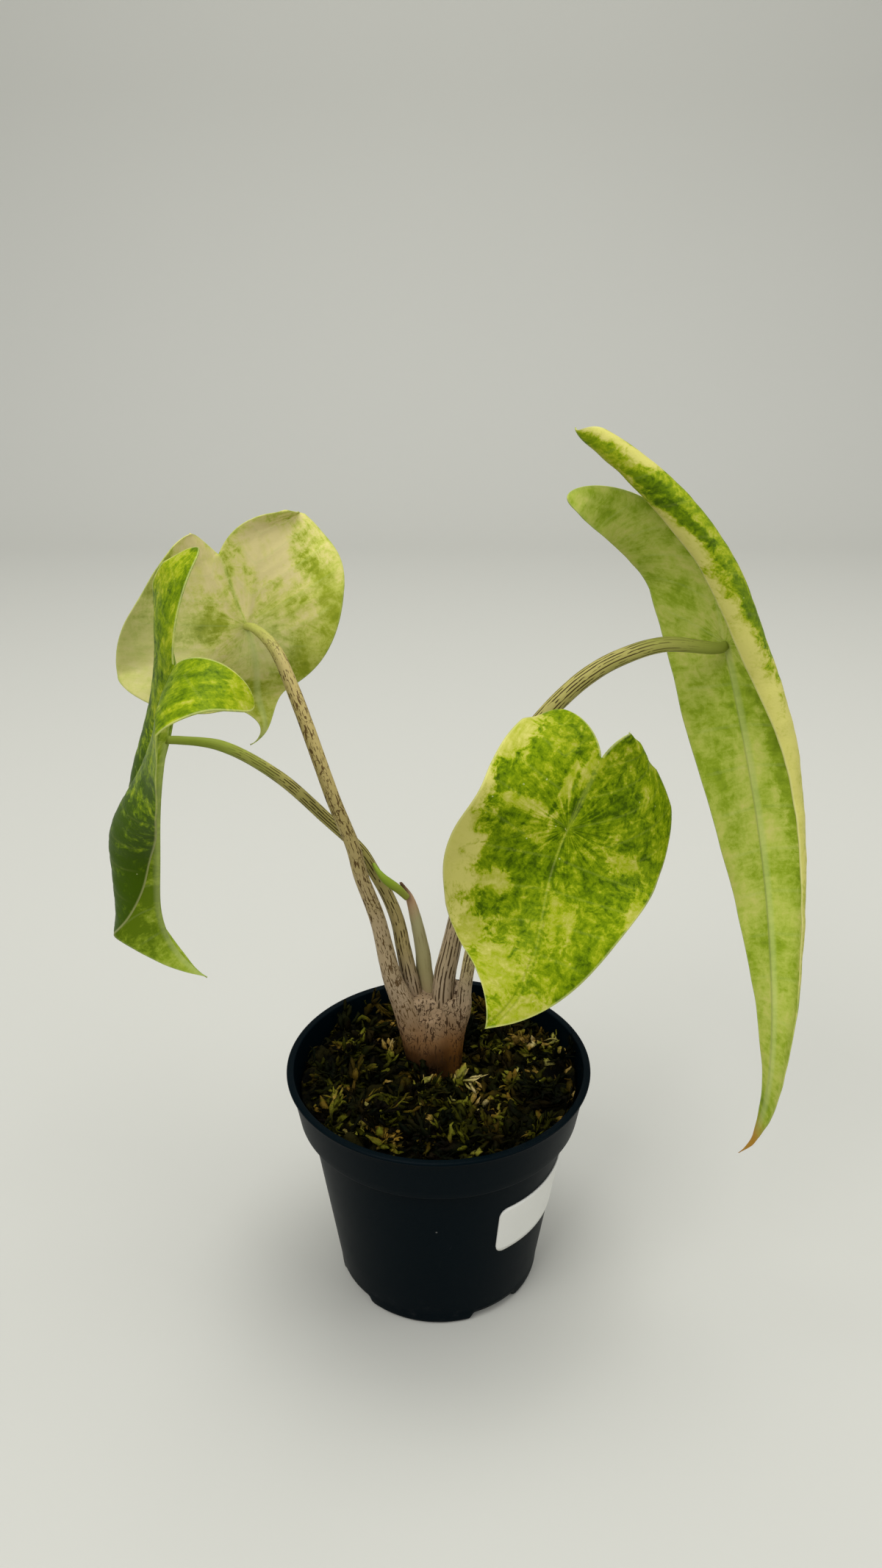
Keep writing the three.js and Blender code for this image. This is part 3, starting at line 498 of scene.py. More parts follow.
def half_blade(leaf, side):
    """Middle surface of one half: each row is straight up to the share flat, then an arc that curls.

    Gives the points, the flat place, the distance to the margin, the vein phase and the distance to a rib.
    """
    half = leaf.right if side > 0 else leaf.left
    lobe = 1 - np.cos(np.arange(LOBE_ROWS) / LOBE_ROWS * math.pi / 2)
    lobe = -half.lobe + (half.lobe - leaf.sinus) * lobe
    lobe[0] = -half.lobe * LOBE_TIP
    ahead = np.sin(np.linspace(0, 1, FRONT_ROWS + 1) * math.pi / 2 * TIP_CROWDING)
    ahead = ahead / math.sin(math.pi / 2 * TIP_CROWDING)
    front = -leaf.sinus + (leaf.length + leaf.sinus) * ahead
    front[-1] = leaf.length * BLADE_TIP
    y = np.concatenate([lobe, front])
    place, axes = spine(leaf, half, side, y)
    fold, curl = (
        np.radians(eased(y / leaf.length, [(row[0], row[k]) for row in half.bend]))[:, None] for k in (1, 2)
    )
    inner, outer = (edge[:, None] for edge in edges(leaf, half, y))
    spread = np.linspace(0, 1, BLADE_COLUMNS)
    spread = 0.6 * spread + 0.4 * (1 - np.cos(spread * math.pi)) / 2
    x = inner + (outer - inner) * spread
    y = np.broadcast_to(y[:, None], x.shape)
    share = x / np.maximum(outer, 1e-6)
    bend = np.where(np.abs(curl) < 1e-4, 1e-4, curl) / (1 - half.flat)
    straight = np.minimum(share, half.flat)
    arc = np.maximum(share - half.flat, 0)
    out = np.cos(fold) * straight + (np.sin(fold + bend * arc) - np.sin(fold)) / bend
    up = np.sin(fold) * straight - (np.cos(fold + bend * arc) - np.cos(fold)) / bend
    points = place[:, None] + side * (outer * out)[..., None] * axes[:, None, :, 0]
    points = points + (outer * up)[..., None] * axes[:, None, :, 2]
    margin = np.minimum(outer - x, (y + half.lobe) * 0.9 + 0.4)
    margin = np.where(y < -leaf.sinus, np.minimum(margin, x - inner), margin)
    rib = np.array([half.lobe_at * half.width * 0.92, -half.lobe])
    rib = rib / np.linalg.norm(rib)
    off_rib = np.abs(x * -rib[1] + y * rib[0])
    down_rib = x * rib[0] + y * rib[1]
    ribs = np.where(down_rib > 0, off_rib, np.hypot(x, y)) + np.maximum(down_rib, 0) * 0.02
    return {
        "points": points, "x": side * x, "y": y, "margin": np.maximum(margin, 0), "share": share,
        "phase": np.where(down_rib > 0, -down_rib * 0.9 + off_rib * 0.75, y - 0.1 * x),
        "ribs": np.where(y >= 0, x, np.minimum(x, ribs)),
    }


def blade(name, material):
    """One blade: two half surfaces that share the midrib, given thickness along their normals and closed at the
    margin. The underside has a raised midrib whose depth falls as a bell curve across it and towards the tip."""
    leaf = LEAVES[name]
    halves = [half_blade(leaf, side) for side in (1, -1)]
    field = Table(**{
        key: np.concatenate([half[key].reshape(-1, *part.shape[2:]) for half in halves])
        for key, part in halves[0].items()
    })
    right = np.arange(halves[0]["x"].size).reshape(halves[0]["x"].shape)
    left = right + right.size
    left[LOBE_ROWS:, 0] = right[LOBE_ROWS:, 0]
    quads = np.concatenate([quads_of(right), quads_of(left)[:, ::-1]])
    normals = np.zeros_like(field.points)
    corners = field.points[quads]
    facing = np.cross(corners[:, 2] - corners[:, 0], corners[:, 3] - corners[:, 1])
    for k in range(4):
        np.add.at(normals, quads[:, k], facing)
    normals = unit(normals)
    bell = np.exp(-((field.ribs / 0.9) ** 2)) * smooth_step(field.margin, 0.3, 2.5)
    ahead = np.where(field.y > 0, 1 - field.y / leaf.length, 0.45 + 0.55 * np.exp(field.y / 9))
    ridge = MIDRIB_DEPTH * bell * np.clip(ahead, 0, 1)
    wave = np.cos(field.phase * 2 * math.pi / leaf.veins) ** 8 * smooth_step(field.ribs, 0.5, 3)
    wave *= smooth_step(field.margin, 0.5, 5)
    inward = smooth_step(field.margin, 0, 2)
    depth = MARGIN_HALF + (BLADE_HALF - MARGIN_HALF) * inward
    flutter = 0.35 * ripple(stacked(field.x, field.y, 0.0), leaf.seed, 16.0, 2)
    flutter *= smooth_step(field.share, 0.25, 1)
    upper = field.points + normals * (depth + flutter - 0.12 * wave - 0.25 * bell)[:, None]
    lower = field.points - normals * (depth - flutter + 0.14 * wave + ridge)[:, None]
    used, quads = np.unique(quads, return_inverse=True)
    quads = quads.reshape(-1, 4)
    skin = Skin()
    sheet = stacked(field.x, field.y)[used] * 0.01
    marks = stacked(field.margin, field.phase / leaf.veins, 0.0)[used]
    top = skin.add_points(upper[used], sheet, marks)
    low = skin.add_points(lower[used], sheet, marks + [0, 0, 1])
    ends = stacked(quads, np.roll(quads, -1, axis=1)).reshape(-1, 2)
    code = ends @ [len(used), 1]
    rim = ends[~np.isin(code, ends @ [1, len(used)])].T
    skin.faces += [top[quads], low[quads][:, ::-1], stacked(top[rim[1]], top[rim[0]], low[rim[0]], low[rim[1]])]
    skin.piece(f"blade_{name}", material, "leaf_blade", f"leaf_{name}")


# Stems


def stem(name, table, radii, material, slot, node, end=(), sides=28, count=200, rough=0.02, flat=1.0):
    """A stem along its path: oval sections square to it, with a fixed normal to its plane, their radius eased
    between stations and slightly uneven. Its flat place is the way round and along."""
    points, length = curve_through([*table.path, *end], count)
    share = np.linspace(0, 1, count)
    size = eased(share, radii)[:, None]
    along = unit(np.gradient(points, axis=0))
    chord = points[-1] - points[0]
    plane = np.cross(points[count // 2] - points[0], chord)
    if np.linalg.norm(plane) < 1e-3 * np.linalg.norm(chord) ** 2:
        plane = np.array([0.0, 1.0, 0.0])
    side = unit(plane - along * (along @ unit(plane))[:, None])
    over = np.cross(along, side)
    angle = around(sides)
    ring = side[:, None] * np.cos(angle)[:, None] + over[:, None] * (flat * np.sin(angle))[:, None]
    uneven = 1 + rough * ripple(points[:, None] + ring * 6, table.seed, 14.0, 3)
    rows = points[:, None] + ring * (size * uneven)[..., None]
    a, b, c = rows[1, 0], rows[1, 1], rows[2, 0]
    if np.dot(np.cross(b - a, c - a), a - rows[1].mean(0)) < 0:
        rows = rows[:, ::-1]
    sheet = stacked(angle * 0.1, (share * length)[:, None]) * 0.01
    marks = stacked(share[:, None], np.cos(angle) * size, np.sin(angle) * size)
    Skin().tube(rows, sheet, marks).piece(name, material, slot, node)


# Pot and sticker


def rounded(corners, size):
    """Corners of a line in the radius-height plane, each replaced by a short quadratic arc of about this size."""
    corners = [np.array(c, float) for c in corners]
    line = [corners[0]]
    for before, corner, after in zip(corners[:-2], corners[1:-1], corners[2:]):
        first, last = before - corner, after - corner
        reach = min(size, np.linalg.norm(first) * 0.45, np.linalg.norm(last) * 0.45)
        start, end = corner + unit(first) * reach, corner + unit(last) * reach
        line += [(1 - t) ** 2 * start + 2 * t * (1 - t) * corner + t**2 * end for t in np.linspace(0, 1, 5)]
    return line + [corners[-1]]


def finely(line, longest):
    """The same line with long stretches cut into even steps."""
    cut = [line[0]]
    for a, b in zip(line[:-1], line[1:]):
        steps = max(1, math.ceil(np.linalg.norm(b - a) / longest))
        cut += [a + (b - a) * t for t in np.linspace(0, 1, steps + 1)[1:]]
    return cut


def pot_wall(material):
    """The pot: one closed profile turned round its axis, from azimuth 0 at -Y towards +X, its foot lifted in a
    bell over each of the four notches."""
    ledge, lip = POT_HEIGHT - COLLAR_DEPTH, POT_HEIGHT - LIP_HEIGHT
    profile = finely(rounded([
        (POT_HUB, 0), (NOTCH_INNER - 3, 0), (NOTCH_INNER, 0), (BODY_FOOT - 1.3, 0), (BODY_FOOT - 0.35, 1.2),
        (BODY_FOOT, FOOT_ROUNDING), (BODY_TOP, ledge - 0.6), (COLLAR_FOOT, ledge), (COLLAR_TOP, lip),
        (RIM, lip + 0.05), (RIM, POT_HEIGHT), (COLLAR_TOP - WALL, POT_HEIGHT), (COLLAR_FOOT - WALL, ledge + WALL),
        (BODY_TOP - WALL, ledge + WALL), (BODY_FOOT - WALL, FOOT_ROUNDING), (BODY_FOOT - WALL - 2, WALL),
        (POT_HUB, WALL),
    ], POT_EDGE), POT_STEP)
    azimuth = around(POT_SIDES)
    radius, height = np.array(profile).T[..., None]
    points = stacked(radius * np.sin(azimuth), -radius * np.cos(azimuth), height)
    wide = math.degrees(NOTCH_WIDTH / BODY_FOOT) / 2
    off = (np.degrees(azimuth) - NOTCH_FIRST_AZIMUTH + 45) % 90 - 45
    arch = 1 - smooth_step(np.abs(off), wide * 0.8, wide * 1.02)
    outer = np.arange(len(radius))[:, None] < len(radius) // 2
    low = outer * smooth_step(radius, NOTCH_INNER - 1, NOTCH_INNER) * (height < FOOT_ROUNDING + 1)
    points[..., 2] += low * np.maximum(NOTCH_HEIGHT - height, 0) * arch
    skin = Skin().tube(points, stacked(azimuth * 0.43, height * 0.01), stacked(height, 0.0, 0.0))
    skin.piece("pot_wall", material, "pot_plastic", "pot")


def body_radius(z):
    """Radius of the pot's outer wall at a height, on the straight line from foot to ledge."""
    share = (z - FOOT_ROUNDING) / (POT_HEIGHT - COLLAR_DEPTH - FOOT_ROUNDING)
    return BODY_FOOT + (BODY_TOP - BODY_FOOT) * share


def sticker(material):
    """A blank rectangle bent round the wall, whose columns shorten near both ends in an arc."""
    first, last = LABEL_AZIMUTHS
    across = np.linspace(0, 1, LABEL_COLUMNS)[:, None]
    up = np.linspace(-1, 1, LABEL_ROWS)
    length = math.radians(last - first) * body_radius(LABEL_LENGTH_AT)
    from_end = np.maximum(LABEL_CORNER - np.minimum(across, 1 - across) * length, 0)
    short = LABEL_CORNER - np.sqrt(np.maximum(LABEL_CORNER**2 - from_end**2, 0))
    z = sum(LABEL_HEIGHTS) / 2 + ((LABEL_HEIGHTS[1] - LABEL_HEIGHTS[0]) / 2 - short) * up
    azimuth = np.radians(first + (last - first) * across)
    skin = Skin()
    inside, outside = (
        skin.add_points(
            stacked((body_radius(z) + stand) * np.sin(azimuth), -(body_radius(z) + stand) * np.cos(azimuth), z),
            stacked(across, up * 0.2), np.zeros(3),
        )
        for stand in LABEL_STANDS
    )
    a, b = (np.concatenate([n[:-1, 0], n[-1, :-1], n[:0:-1, -1], n[0, :0:-1]]) for n in (outside, inside))
    rim = stacked(np.roll(a, -1), a, b, np.roll(b, -1))
    skin.faces += [quads_of(outside), quads_of(inside)[:, ::-1], rim[:, ::-1]]
    skin.piece("sticker", material, "label_paper", "label")


# Moss


def bed_height(x, y):
    """Top of the dark cushion under the strands, and its crumbs. The moss is higher in front, with cushions that
    are products and sums of sines; the bed lies a little lower, with random ripples."""
    cushions = np.sin(0.42 * x + 0.8) * np.cos(0.37 * y - 0.5) + 0.6 * np.sin(0.71 * x - 0.55 * y + 2.1)
    flat = stacked(x, y, 0.0)
    crumbs = 1.7 * ripple(flat, 3, 8.0, 3) + 0.45 * np.abs(ripple(flat, 4, 2.4, 2))
    return MOSS_TOP - MOSS_SLOPE * y + MOSS_BUMP * cushions - MOSS_BED_DEPTH + crumbs, crumbs


def moss_bed(material):
    """Dark crumbly cushion: rings round the pot's axis at the bed's height, and a flat underside."""
    rings = np.concatenate([[0.2], np.linspace(1, MOSS_RADIUS - 0.3, MOSS_BED_RINGS)])[:, None]
    azimuth = around(MOSS_BED_SIDES)
    x, y = rings * np.cos(azimuth), rings * np.sin(azimuth)
    z, crumbs = bed_height(x, y)
    foot = stacked(x[-1:], y[-1:], MOSS_FOOT) * [0.99, 0.99, 1]
    points = np.concatenate([stacked(x, y, z), foot, foot * [0.004, 0.004, 1]])
    marks = np.zeros(points.shape)
    marks[: len(rings), :, 0] = crumbs
    Skin().tube(points, points[..., :2] * 0.01, marks).piece("moss_bed", material, "moss", "moss")


def ribbons(skin, foot, heading, rise, length, width, bends, tones, seed, rings, sides):
    """Many crinkled strands at once. Heading and rise turn along each, its points are the running sum of the way
    it goes, and its section is a flat oval whose width swells and pinches. Gives its points and ways."""
    rng = np.random.default_rng(seed)
    column = (len(foot), 1)
    t = np.linspace(0, 1, rings)
    wiggle = bends[2][:, None] * np.sin(TURN * (t * rng.uniform(0.8, 2.2, column) + rng.random(column)))
    turn_to = heading[:, None] + bends[0][:, None] * t + wiggle
    climb = rise[:, None] + bends[1][:, None] * t + 0.6 * wiggle
    way = stacked(np.cos(climb) * np.cos(turn_to), np.cos(climb) * np.sin(turn_to), np.sin(climb))
    points = foot[:, None] + np.cumsum(way, 1) * (length / (rings - 1))[:, None, None]
    side = unit(np.cross(way, UP + 0.4 * rng.normal(size=(*column, 3))))
    angle = around(sides)
    ragged = 1 + 0.4 * np.sin(TURN * (t * rng.uniform(2, 4, column) + rng.random(column)))
    size = width[:, None] * (0.1 + np.sin(math.pi * np.clip(t * 0.93 + 0.05, 0, 1)) ** 0.7 * ragged)
    thick = 0.3 * np.sin(angle) + 0.3 * np.cos(angle) ** 2
    ring = side[:, :, None] * np.cos(angle)[:, None] + np.cross(way, side)[:, :, None] * thick[:, None]
    first, second, later = (tones[:, k, None, None] for k in range(3))
    number = skin.add_points(
        keep_in_pot(points[:, :, None] + ring * size[:, :, None, None]),
        stacked(np.cos(angle) * 0.01, (t * length[:, None])[:, :, None] * 0.01),
        stacked(first, t[:, None] + 0 * angle + later, second),
    )
    skin.faces += [quads_of(closed(number))[:, ::-1], number[:, 0], number[:, -1, ::-1]]
    return points, way


def keep_in_pot(points):
    """Every point past the pot's wall is drawn back to it, as moss that leans on the wall."""
    radius = np.hypot(points[..., 0], points[..., 1])
    most = MOSS_RADIUS - 0.5 + 0.12 * np.clip(points[..., 2] - MOSS_TOP, 0, 8)
    points[..., :2] *= np.minimum(1, most / np.maximum(radius, 1e-6))[..., None]
    return points


def scattered(count, seed, lengths, widths, rises, twist):
    """Feet over the moss, clear of the crown, and for each its heading, rise, length, width, bends and tones."""
    rng = np.random.default_rng(seed)
    radius = (MOSS_RADIUS - 0.5) * rng.random(count) ** 0.44
    azimuth = rng.uniform(0, TURN, count)
    x, y = radius * np.cos(azimuth), radius * np.sin(azimuth)
    clear = np.hypot(x - CROWN_CENTRE[0], y - CROWN_CENTRE[1]) > CROWN_RADIUS + 0.6
    foot = stacked(x, y, bed_height(x, y)[0] - 0.2)
    heading = azimuth + math.pi + rng.normal(0, 1.7, count)
    rise, length, width = (rng.uniform(*span, count) for span in (rises, lengths, widths))
    bends = [rng.normal(0, twist, count), rng.uniform(-1.8, 0.2, count), rng.uniform(0.1, 0.7, count)]
    tones = stacked(rng.random(count), rng.random(count), 0.0)
    return [a[clear] for a in (foot, heading, rise, length, width)] + [[b[clear] for b in bends], tones[clear]]


def moss_strands(material):
    """Loose moss: short crinkled strands, and over them feathered fronds with small pointed leaves to both sides
    of each stem."""
    skin = Skin()
    ribbons(skin, *scattered(*SHORT_STRANDS), seed=141, rings=7, sides=5)
    each = len(FROND_LEAF_RINGS)
    for fronds in FRONDS:
        seed = fronds[1]
        parts = scattered(*fronds)
        points, way = ribbons(skin, *parts, seed=seed + 100, rings=9, sides=5)
        feet, ahead = (a[:, FROND_LEAF_RINGS].reshape(-1, 3) for a in (points, way))
        many = len(feet)
        taper = np.tile(np.linspace(1.15, 0.6, each), len(points))
        rng = np.random.default_rng(seed + 200)
        for hand in (-1, 1):
            ribbons(
                skin, feet, np.arctan2(ahead[:, 1], ahead[:, 0]) + hand * rng.uniform(0.5, 1.2, many),
                np.arcsin(np.clip(ahead[:, 2], -1, 1)) + rng.normal(0.15, 0.45, many),
                taper * np.repeat(parts[3], each) * rng.uniform(0.24, 0.42, many),
                taper * rng.uniform(0.55, 1.25, many),
                [-hand * rng.uniform(0, 1.2, many), rng.normal(-0.4, 0.5, many), rng.uniform(0, 0.3, many)],
                np.repeat(parts[6], each, 0) + [0, 0, 0.35] + rng.normal(0, 0.05, (many, 3)) * [1, 1, 0],
                seed=seed + 300 + hand, rings=5, sides=4,
            )
    skin.piece("moss_strands", material, "moss")


# Crown


def crown(material):
    """The grown-together leaf bases: at each height the outline is the soft largest reach, from the middle, of the
    circles that the stems are there; the upper edge stands high at each stem and dips between."""
    stems = [(table.radii, curve_through(table.path, 300)[0]) for table in [*PETIOLES.values(), SHEATH]]
    azimuth = around(CROWN_SIDES)
    ways = stacked(np.cos(azimuth), np.sin(azimuth))

    def passing(path, z):
        """Where a path passes height z, seen from the crown's middle."""
        return stacked(*(np.interp(z, path[:, 2], path[:, k]) for k in range(2))) - CROWN_MIDDLE

    tops = np.full(len(azimuth), CROWN_TOP - CROWN_DIP)
    for _, path in stems:
        at = passing(path, CROWN_TOP)
        off = (azimuth - math.atan2(at[1], at[0]) + math.pi) % TURN - math.pi
        rise = np.exp(-((off * np.linalg.norm(at) / 3.6) ** 2))
        tops = np.maximum(tops, CROWN_TOP - CROWN_DIP + (CROWN_DIP + 2.5) * rise)
    share = np.linspace(0, 1, CROWN_ROWS)[:, None]
    z = CROWN_FOOT + (tops - CROWN_FOOT) * share
    total = 0
    for radii, path in stems:
        at = passing(path, z)
        grow = np.clip(np.interp(z, path[:, 2], np.linspace(0, 1, len(path))) / CROWN_SHARE, 0, 1)
        radius = radii[0] + (radii[1] - radii[0]) * grow + 0.3 - 0.8 * smooth_step(share, 0.86, 1.0)
        off = (at * ways).sum(-1)
        miss = np.maximum((at**2).sum(-1) - off**2, 0)
        hit = off + np.sqrt(np.maximum(radius**2 - miss, 0))
        soft = np.where(miss < radius**2, hit, off - (np.sqrt(miss) - radius) * 1.6)
        total += np.exp(np.clip(soft, 0.5, 40) * CROWN_SOFTNESS)
    base = CROWN_RADIUS * (1 - 0.12 * smooth_step(z, CROWN_SHOULDER - 4, CROWN_TOP))
    total += np.exp(base * (1 - 0.45 * smooth_step(z, CROWN_SHOULDER, CROWN_TOP)) * CROWN_SOFTNESS)
    folds = ripple(stacked(azimuth * 9, 0.12 * z, 0.0), 8, 3.2, 2)
    flat = ways * (np.log(total) / CROWN_SOFTNESS)[..., None] + CROWN_MIDDLE + ways * (0.16 * folds)[..., None]
    lid = CROWN_MIDDLE + (flat[-1] - CROWN_MIDDLE) * CROWN_LID[..., None]
    lid_z = z[-1] + (CROWN_SADDLE - z[-1]) * smooth_step(1 - CROWN_LID, 0, 0.55)
    x, y = np.moveaxis(np.concatenate([CROWN_MIDDLE + (flat[:1] - CROWN_MIDDLE) * 0.02, flat, lid]), -1, 0)
    z = np.concatenate([z[:1], z, lid_z])
    marks = stacked((z - CROWN_FOOT) / (CROWN_TOP - CROWN_FOOT), x, y)
    skin = Skin().tube(stacked(x, y, z), stacked(x, z) * 0.01, marks)
    skin.piece("crown_sheaths", material, "crown_skin", "crown")


# Shader kit


def operator(operation, turned=False):
    """A two-sided operator that adds its Math node, with its sides exchanged when turned."""
    return lambda a, b: a.look.math(operation, *((b, a) if turned else (a, b)))


class Value:
    """A socket that stands in a Python expression."""

    def __init__(self, look, socket):
        self.look, self.socket = look, socket

    __add__ = __radd__ = operator("ADD")
    __mul__ = __rmul__ = operator("MULTIPLY")
    __sub__, __rsub__ = operator("SUBTRACT"), operator("SUBTRACT", True)
    __truediv__, __pow__ = operator("DIVIDE"), operator("POWER")

    def __abs__(self):
        return self.look.math("ABSOLUTE", self)

    def clamp(self):
        return self.look.node("Clamp", {0: self})

    def step(self, low, high):
        """0 at low, 1 at high, smooth in between; high may be the lower number."""
        return self.look.node("MapRange", {0: self, 1: low, 2: high}, interpolation_type="SMOOTHSTEP")

    def noise(self, wavelength, detail, roughness=0.5, distortion=0.0):
        """Cloudy value about 0.5 at this place, with bumps about a wavelength (in millimetres) across."""
        inputs = {"Detail": detail, "Roughness": roughness, "Distortion": distortion}
        return self.look.node("TexNoise", {"Vector": self, "Scale": 1.0 / wavelength, **inputs})

    def cells(self, wavelength):
        """Distance from this place to the nearest of scattered points, in cell sizes."""
        return self.look.node("TexVoronoi", {"Vector": self, "Scale": 1.0 / wavelength})


class Look:
    """One material: a principled shader and the nodes that the methods add."""

    def __init__(self, name, gloss=0.5):
        self.material = bpy.data.materials.new(name)
        self.material.use_nodes = True
        self.nodes, self.links = self.material.node_tree.nodes, self.material.node_tree.links
        self.shader = self.nodes["Principled BSDF"]
        self.shader.inputs["Specular IOR Level"].default_value = gloss

    def node(self, kind, inputs=None, output=0, **settings):
        """Any node: first its settings, then the values or links of its sockets."""
        made = self.nodes.new(f"ShaderNode{kind}")
        for key, value in settings.items():
            setattr(made, key, value)
        for key, value in (inputs or {}).items():
            if isinstance(value, Value):
                self.links.new(value.socket, made.inputs[key])
            else:
                made.inputs[key].default_value = value
        return Value(self, made.outputs[output])

    def math(self, operation, *values):
        return self.node("Math", dict(enumerate(values)), operation=operation)

    def vector(self, *parts):
        return self.node("CombineXYZ", dict(enumerate(parts)))

    def stem(self):
        """Share of a stem's length, its cosine and sine marks, and the way along it in millimetres."""
        return (*self.marks(), self.flat()[1])

    def parts(self, vector, count=3):
        return [self.node("SeparateXYZ", {0: vector}, k) for k in range(count)]

    def place(self):
        """Object coordinates in millimetres."""
        return self.node("VectorMath", {0: self.node("TexCoord", output=3), "Scale": 1 / MM}, operation="SCALE")

    def flat(self):
        """The two numbers of the flat place, in millimetres."""
        return [part * 100.0 for part in self.parts(self.node("UVMap", uv_map="flat"), 2)]

    def marks(self):
        return self.parts(self.node("Attribute", output=1, attribute_name="marks"))

    def colour(self, share, first, second):
        """A colour between two."""
        first, second = (c if isinstance(c, Value) else (*c, 1) for c in (first, second))
        return self.node("Mix", {0: share, 6: first, 7: second}, 2, data_type="RGBA")

    def coated(self, colour, *coats):
        """A colour with others laid over it in turn, each by its share."""
        for share, paint in coats:
            colour = self.colour(share, colour, paint)
        return colour

    def ramp(self, share, *stops):
        """A colour between stops, which are pairs of place and colour."""
        made = self.node("ValToRGB", {0: share})
        elements = made.socket.node.color_ramp.elements
        while len(elements) < len(stops):
            elements.new(0.5)
        for element, (place, colour) in zip(elements, stops):
            element.position, element.color = place, (*colour, 1)
        return made

    def patch(self, x, y, spots, wobble, blur):
        """Largest of soft ellipses (centre x, y, half sizes, weight): its weight inside, 0 outside, over an edge
        that blur widens and wobble moves."""
        largest = None
        for centre_x, centre_y, size_x, size_y, weight in spots:
            far = self.math("SQRT", ((x - centre_x) / size_x) ** 2.0 + ((y - centre_y) / size_y) ** 2.0)
            share = (far + wobble).step(1.0 + blur, 1.0 - blur) * weight
            largest = self.math("MAXIMUM", largest, share) if largest else share
        return largest

    def finish(self, colour, roughness, bump=None, height=0.0, strength=0.0):
        """Links what varies to the shader, and a bump whose height is in millimetres."""
        varying = {"Base Color": colour, "Roughness": roughness}
        if bump:
            varying["Normal"] = self.node("Bump", {"Height": bump, "Distance": height * MM, "Strength": strength})
        for socket, value in varying.items():
            self.links.new(value.socket, self.shader.inputs[socket])
        return self.material


# Finishes


def blade_look(name):
    """Variegated blade. An amount of green, summed from clouds of three sizes, streaks from the petiole and along
    the veins and the table's patches, picks the colour from cream to dark green. The underside has a calmer sum,
    and brighter patches of painted light where the table lists them, lifting parts that the lamps leave darker."""
    leaf = LEAVES[name]
    look = Look(f"blade_{name}", leaf.gloss)
    x, y = look.flat()
    margin, phase, under = look.marks()
    across = abs(x)
    spot = look.vector(x, y, leaf.seed)
    large = spot.noise(15.0, 3.0, 0.55) - 0.5
    middle = spot.noise(3.6, 9.0, 0.74, 0.35) - 0.5
    fine = spot.noise(0.9, 3.0, 0.62) - 0.5
    vein_way = look.vector(phase * (leaf.veins * 0.8), across * 0.2 + y * 0.05, 3.0)
    streak = vein_way.noise(1.5, 5.0, 0.66, 0.4) - 0.5
    lengthwise = look.vector(x, y * 0.12, 7.0).noise(2.0, 4.0, 0.6, 0.3) - 0.5
    lengthwise = lengthwise * y.step(-4.0, -18.0) * leaf.stripes
    away = look.math("SQRT", x * x + y * y + 1.0)
    fan_way = look.vector(look.math("ARCTAN2", x, y) * 8.5, away * 0.05, leaf.seed)
    fan = (fan_way.noise(1.0, 6.0, 0.66, 0.5) - 0.5) * away.step(leaf.fan, 3.0)
    wobble = large * 1.4 + middle * 1.7 + fine * 0.3
    pale = look.patch(x, y, leaf.pale, wobble, leaf.blur)
    deep = look.patch(x, y, leaf.deep, wobble * -1.0, leaf.blur)
    calm = (1.0 - pale * 1.4 - deep * 0.6) * leaf.mottling
    drawn = deep - pale + fan * 0.8 + lengthwise + leaf.amount
    amount = (large * 0.5 + middle * 1.9 + fine * 0.5 + streak * 0.5) * calm + drawn + fan * 0.7
    top = look.ramp(amount, *GREEN_AND_YELLOW)
    below = look.ramp((large * 1.1 + middle * 1.1 + streak * 0.6) * calm + drawn, *leaf.lower)
    # Painted light: the listed patches brighten the underside beyond its own colours, where the lamps leave it
    # darker.
    if leaf.glow:
        below = look.colour(look.patch(x, y, leaf.glow, wobble * 0.5, 0.7), below, (0.64, 0.66, 0.27))
    vein = look.math("COSINE", phase * TURN)
    vein_line = vein.step(0.94, 0.999) * margin.step(1.0, 7.0) * across.step(0.5, 3.0)
    rib = across.step(0.42, 0.14) * y.step(-1.0, 0.5) * y.step(leaf.length * 0.9, leaf.length * 0.2)
    beside = across.step(0.3, 0.6) * across.step(1.3, 0.7) * y.step(0.0, 3.0)
    throat = across.step(1.2, 0.2) * y.step(1.0, -4.0) * y.step(-leaf.sinus - 3.0, -leaf.sinus + 6.0)
    flecks = spot.cells(6.0).step(0.06, 0.03) * fine.step(-0.06, 0.04)
    edge = margin.step(0.8, 0.2)
    broad_rib = across.step(1.9, 0.4) * y.step(-1.0, 1.0)
    top = look.coated(
        top, (vein_line * 0.05 + throat * 0.12, VEIN), (beside * 0.3, (0.07, 0.12, 0.002)), (rib * 0.14, VEIN),
        (flecks * 0.5, (0.6, 0.6, 0.3)), (edge * 0.45, (0.5, 0.5, 0.2)),
    )
    below = look.coated(
        below, (vein_line * 0.14 + edge * 0.3, UNDER_RIB), (broad_rib * 0.5 + throat * 0.2, UNDER_RIB),
    )
    shade = look.colour(under.step(0.4, 0.6), top, below)
    if leaf.dry:
        dry = (y + fine * 9.0 + large * 9.0).step(leaf.length - leaf.dry, leaf.length - leaf.dry * 0.45)
        shade = look.colour(dry, shade, (0.42, 0.22, 0.025))
    relief = vein * margin.step(0.5, 4.0) * 0.18 + fine * 0.6 + middle * 0.8 + streak * 0.3
    return look.finish(shade, 0.4 + fine * 0.14 + under * 0.14, relief, 0.4, 0.3)


def crown_tone(look, cloud):
    """Colour of the grown-together bases by height, nearly black in the moss to pinkish tan, and that height,
    which is 1 at the crown's top."""
    level = (look.parts(look.place())[2] - CROWN_FOOT) * (1 / (CROWN_TOP - CROWN_FOOT))
    tone = look.ramp(
        level + (cloud - 0.5) * 0.2,
        (0.38, (0.006, 0.003, 0.001)), (0.47, (0.05, 0.021, 0.006)), (0.57, (0.15, 0.075, 0.028)),
        (0.74, (0.23, 0.15, 0.08)), (1.0, (0.32, 0.24, 0.148)),
    )
    return tone, level


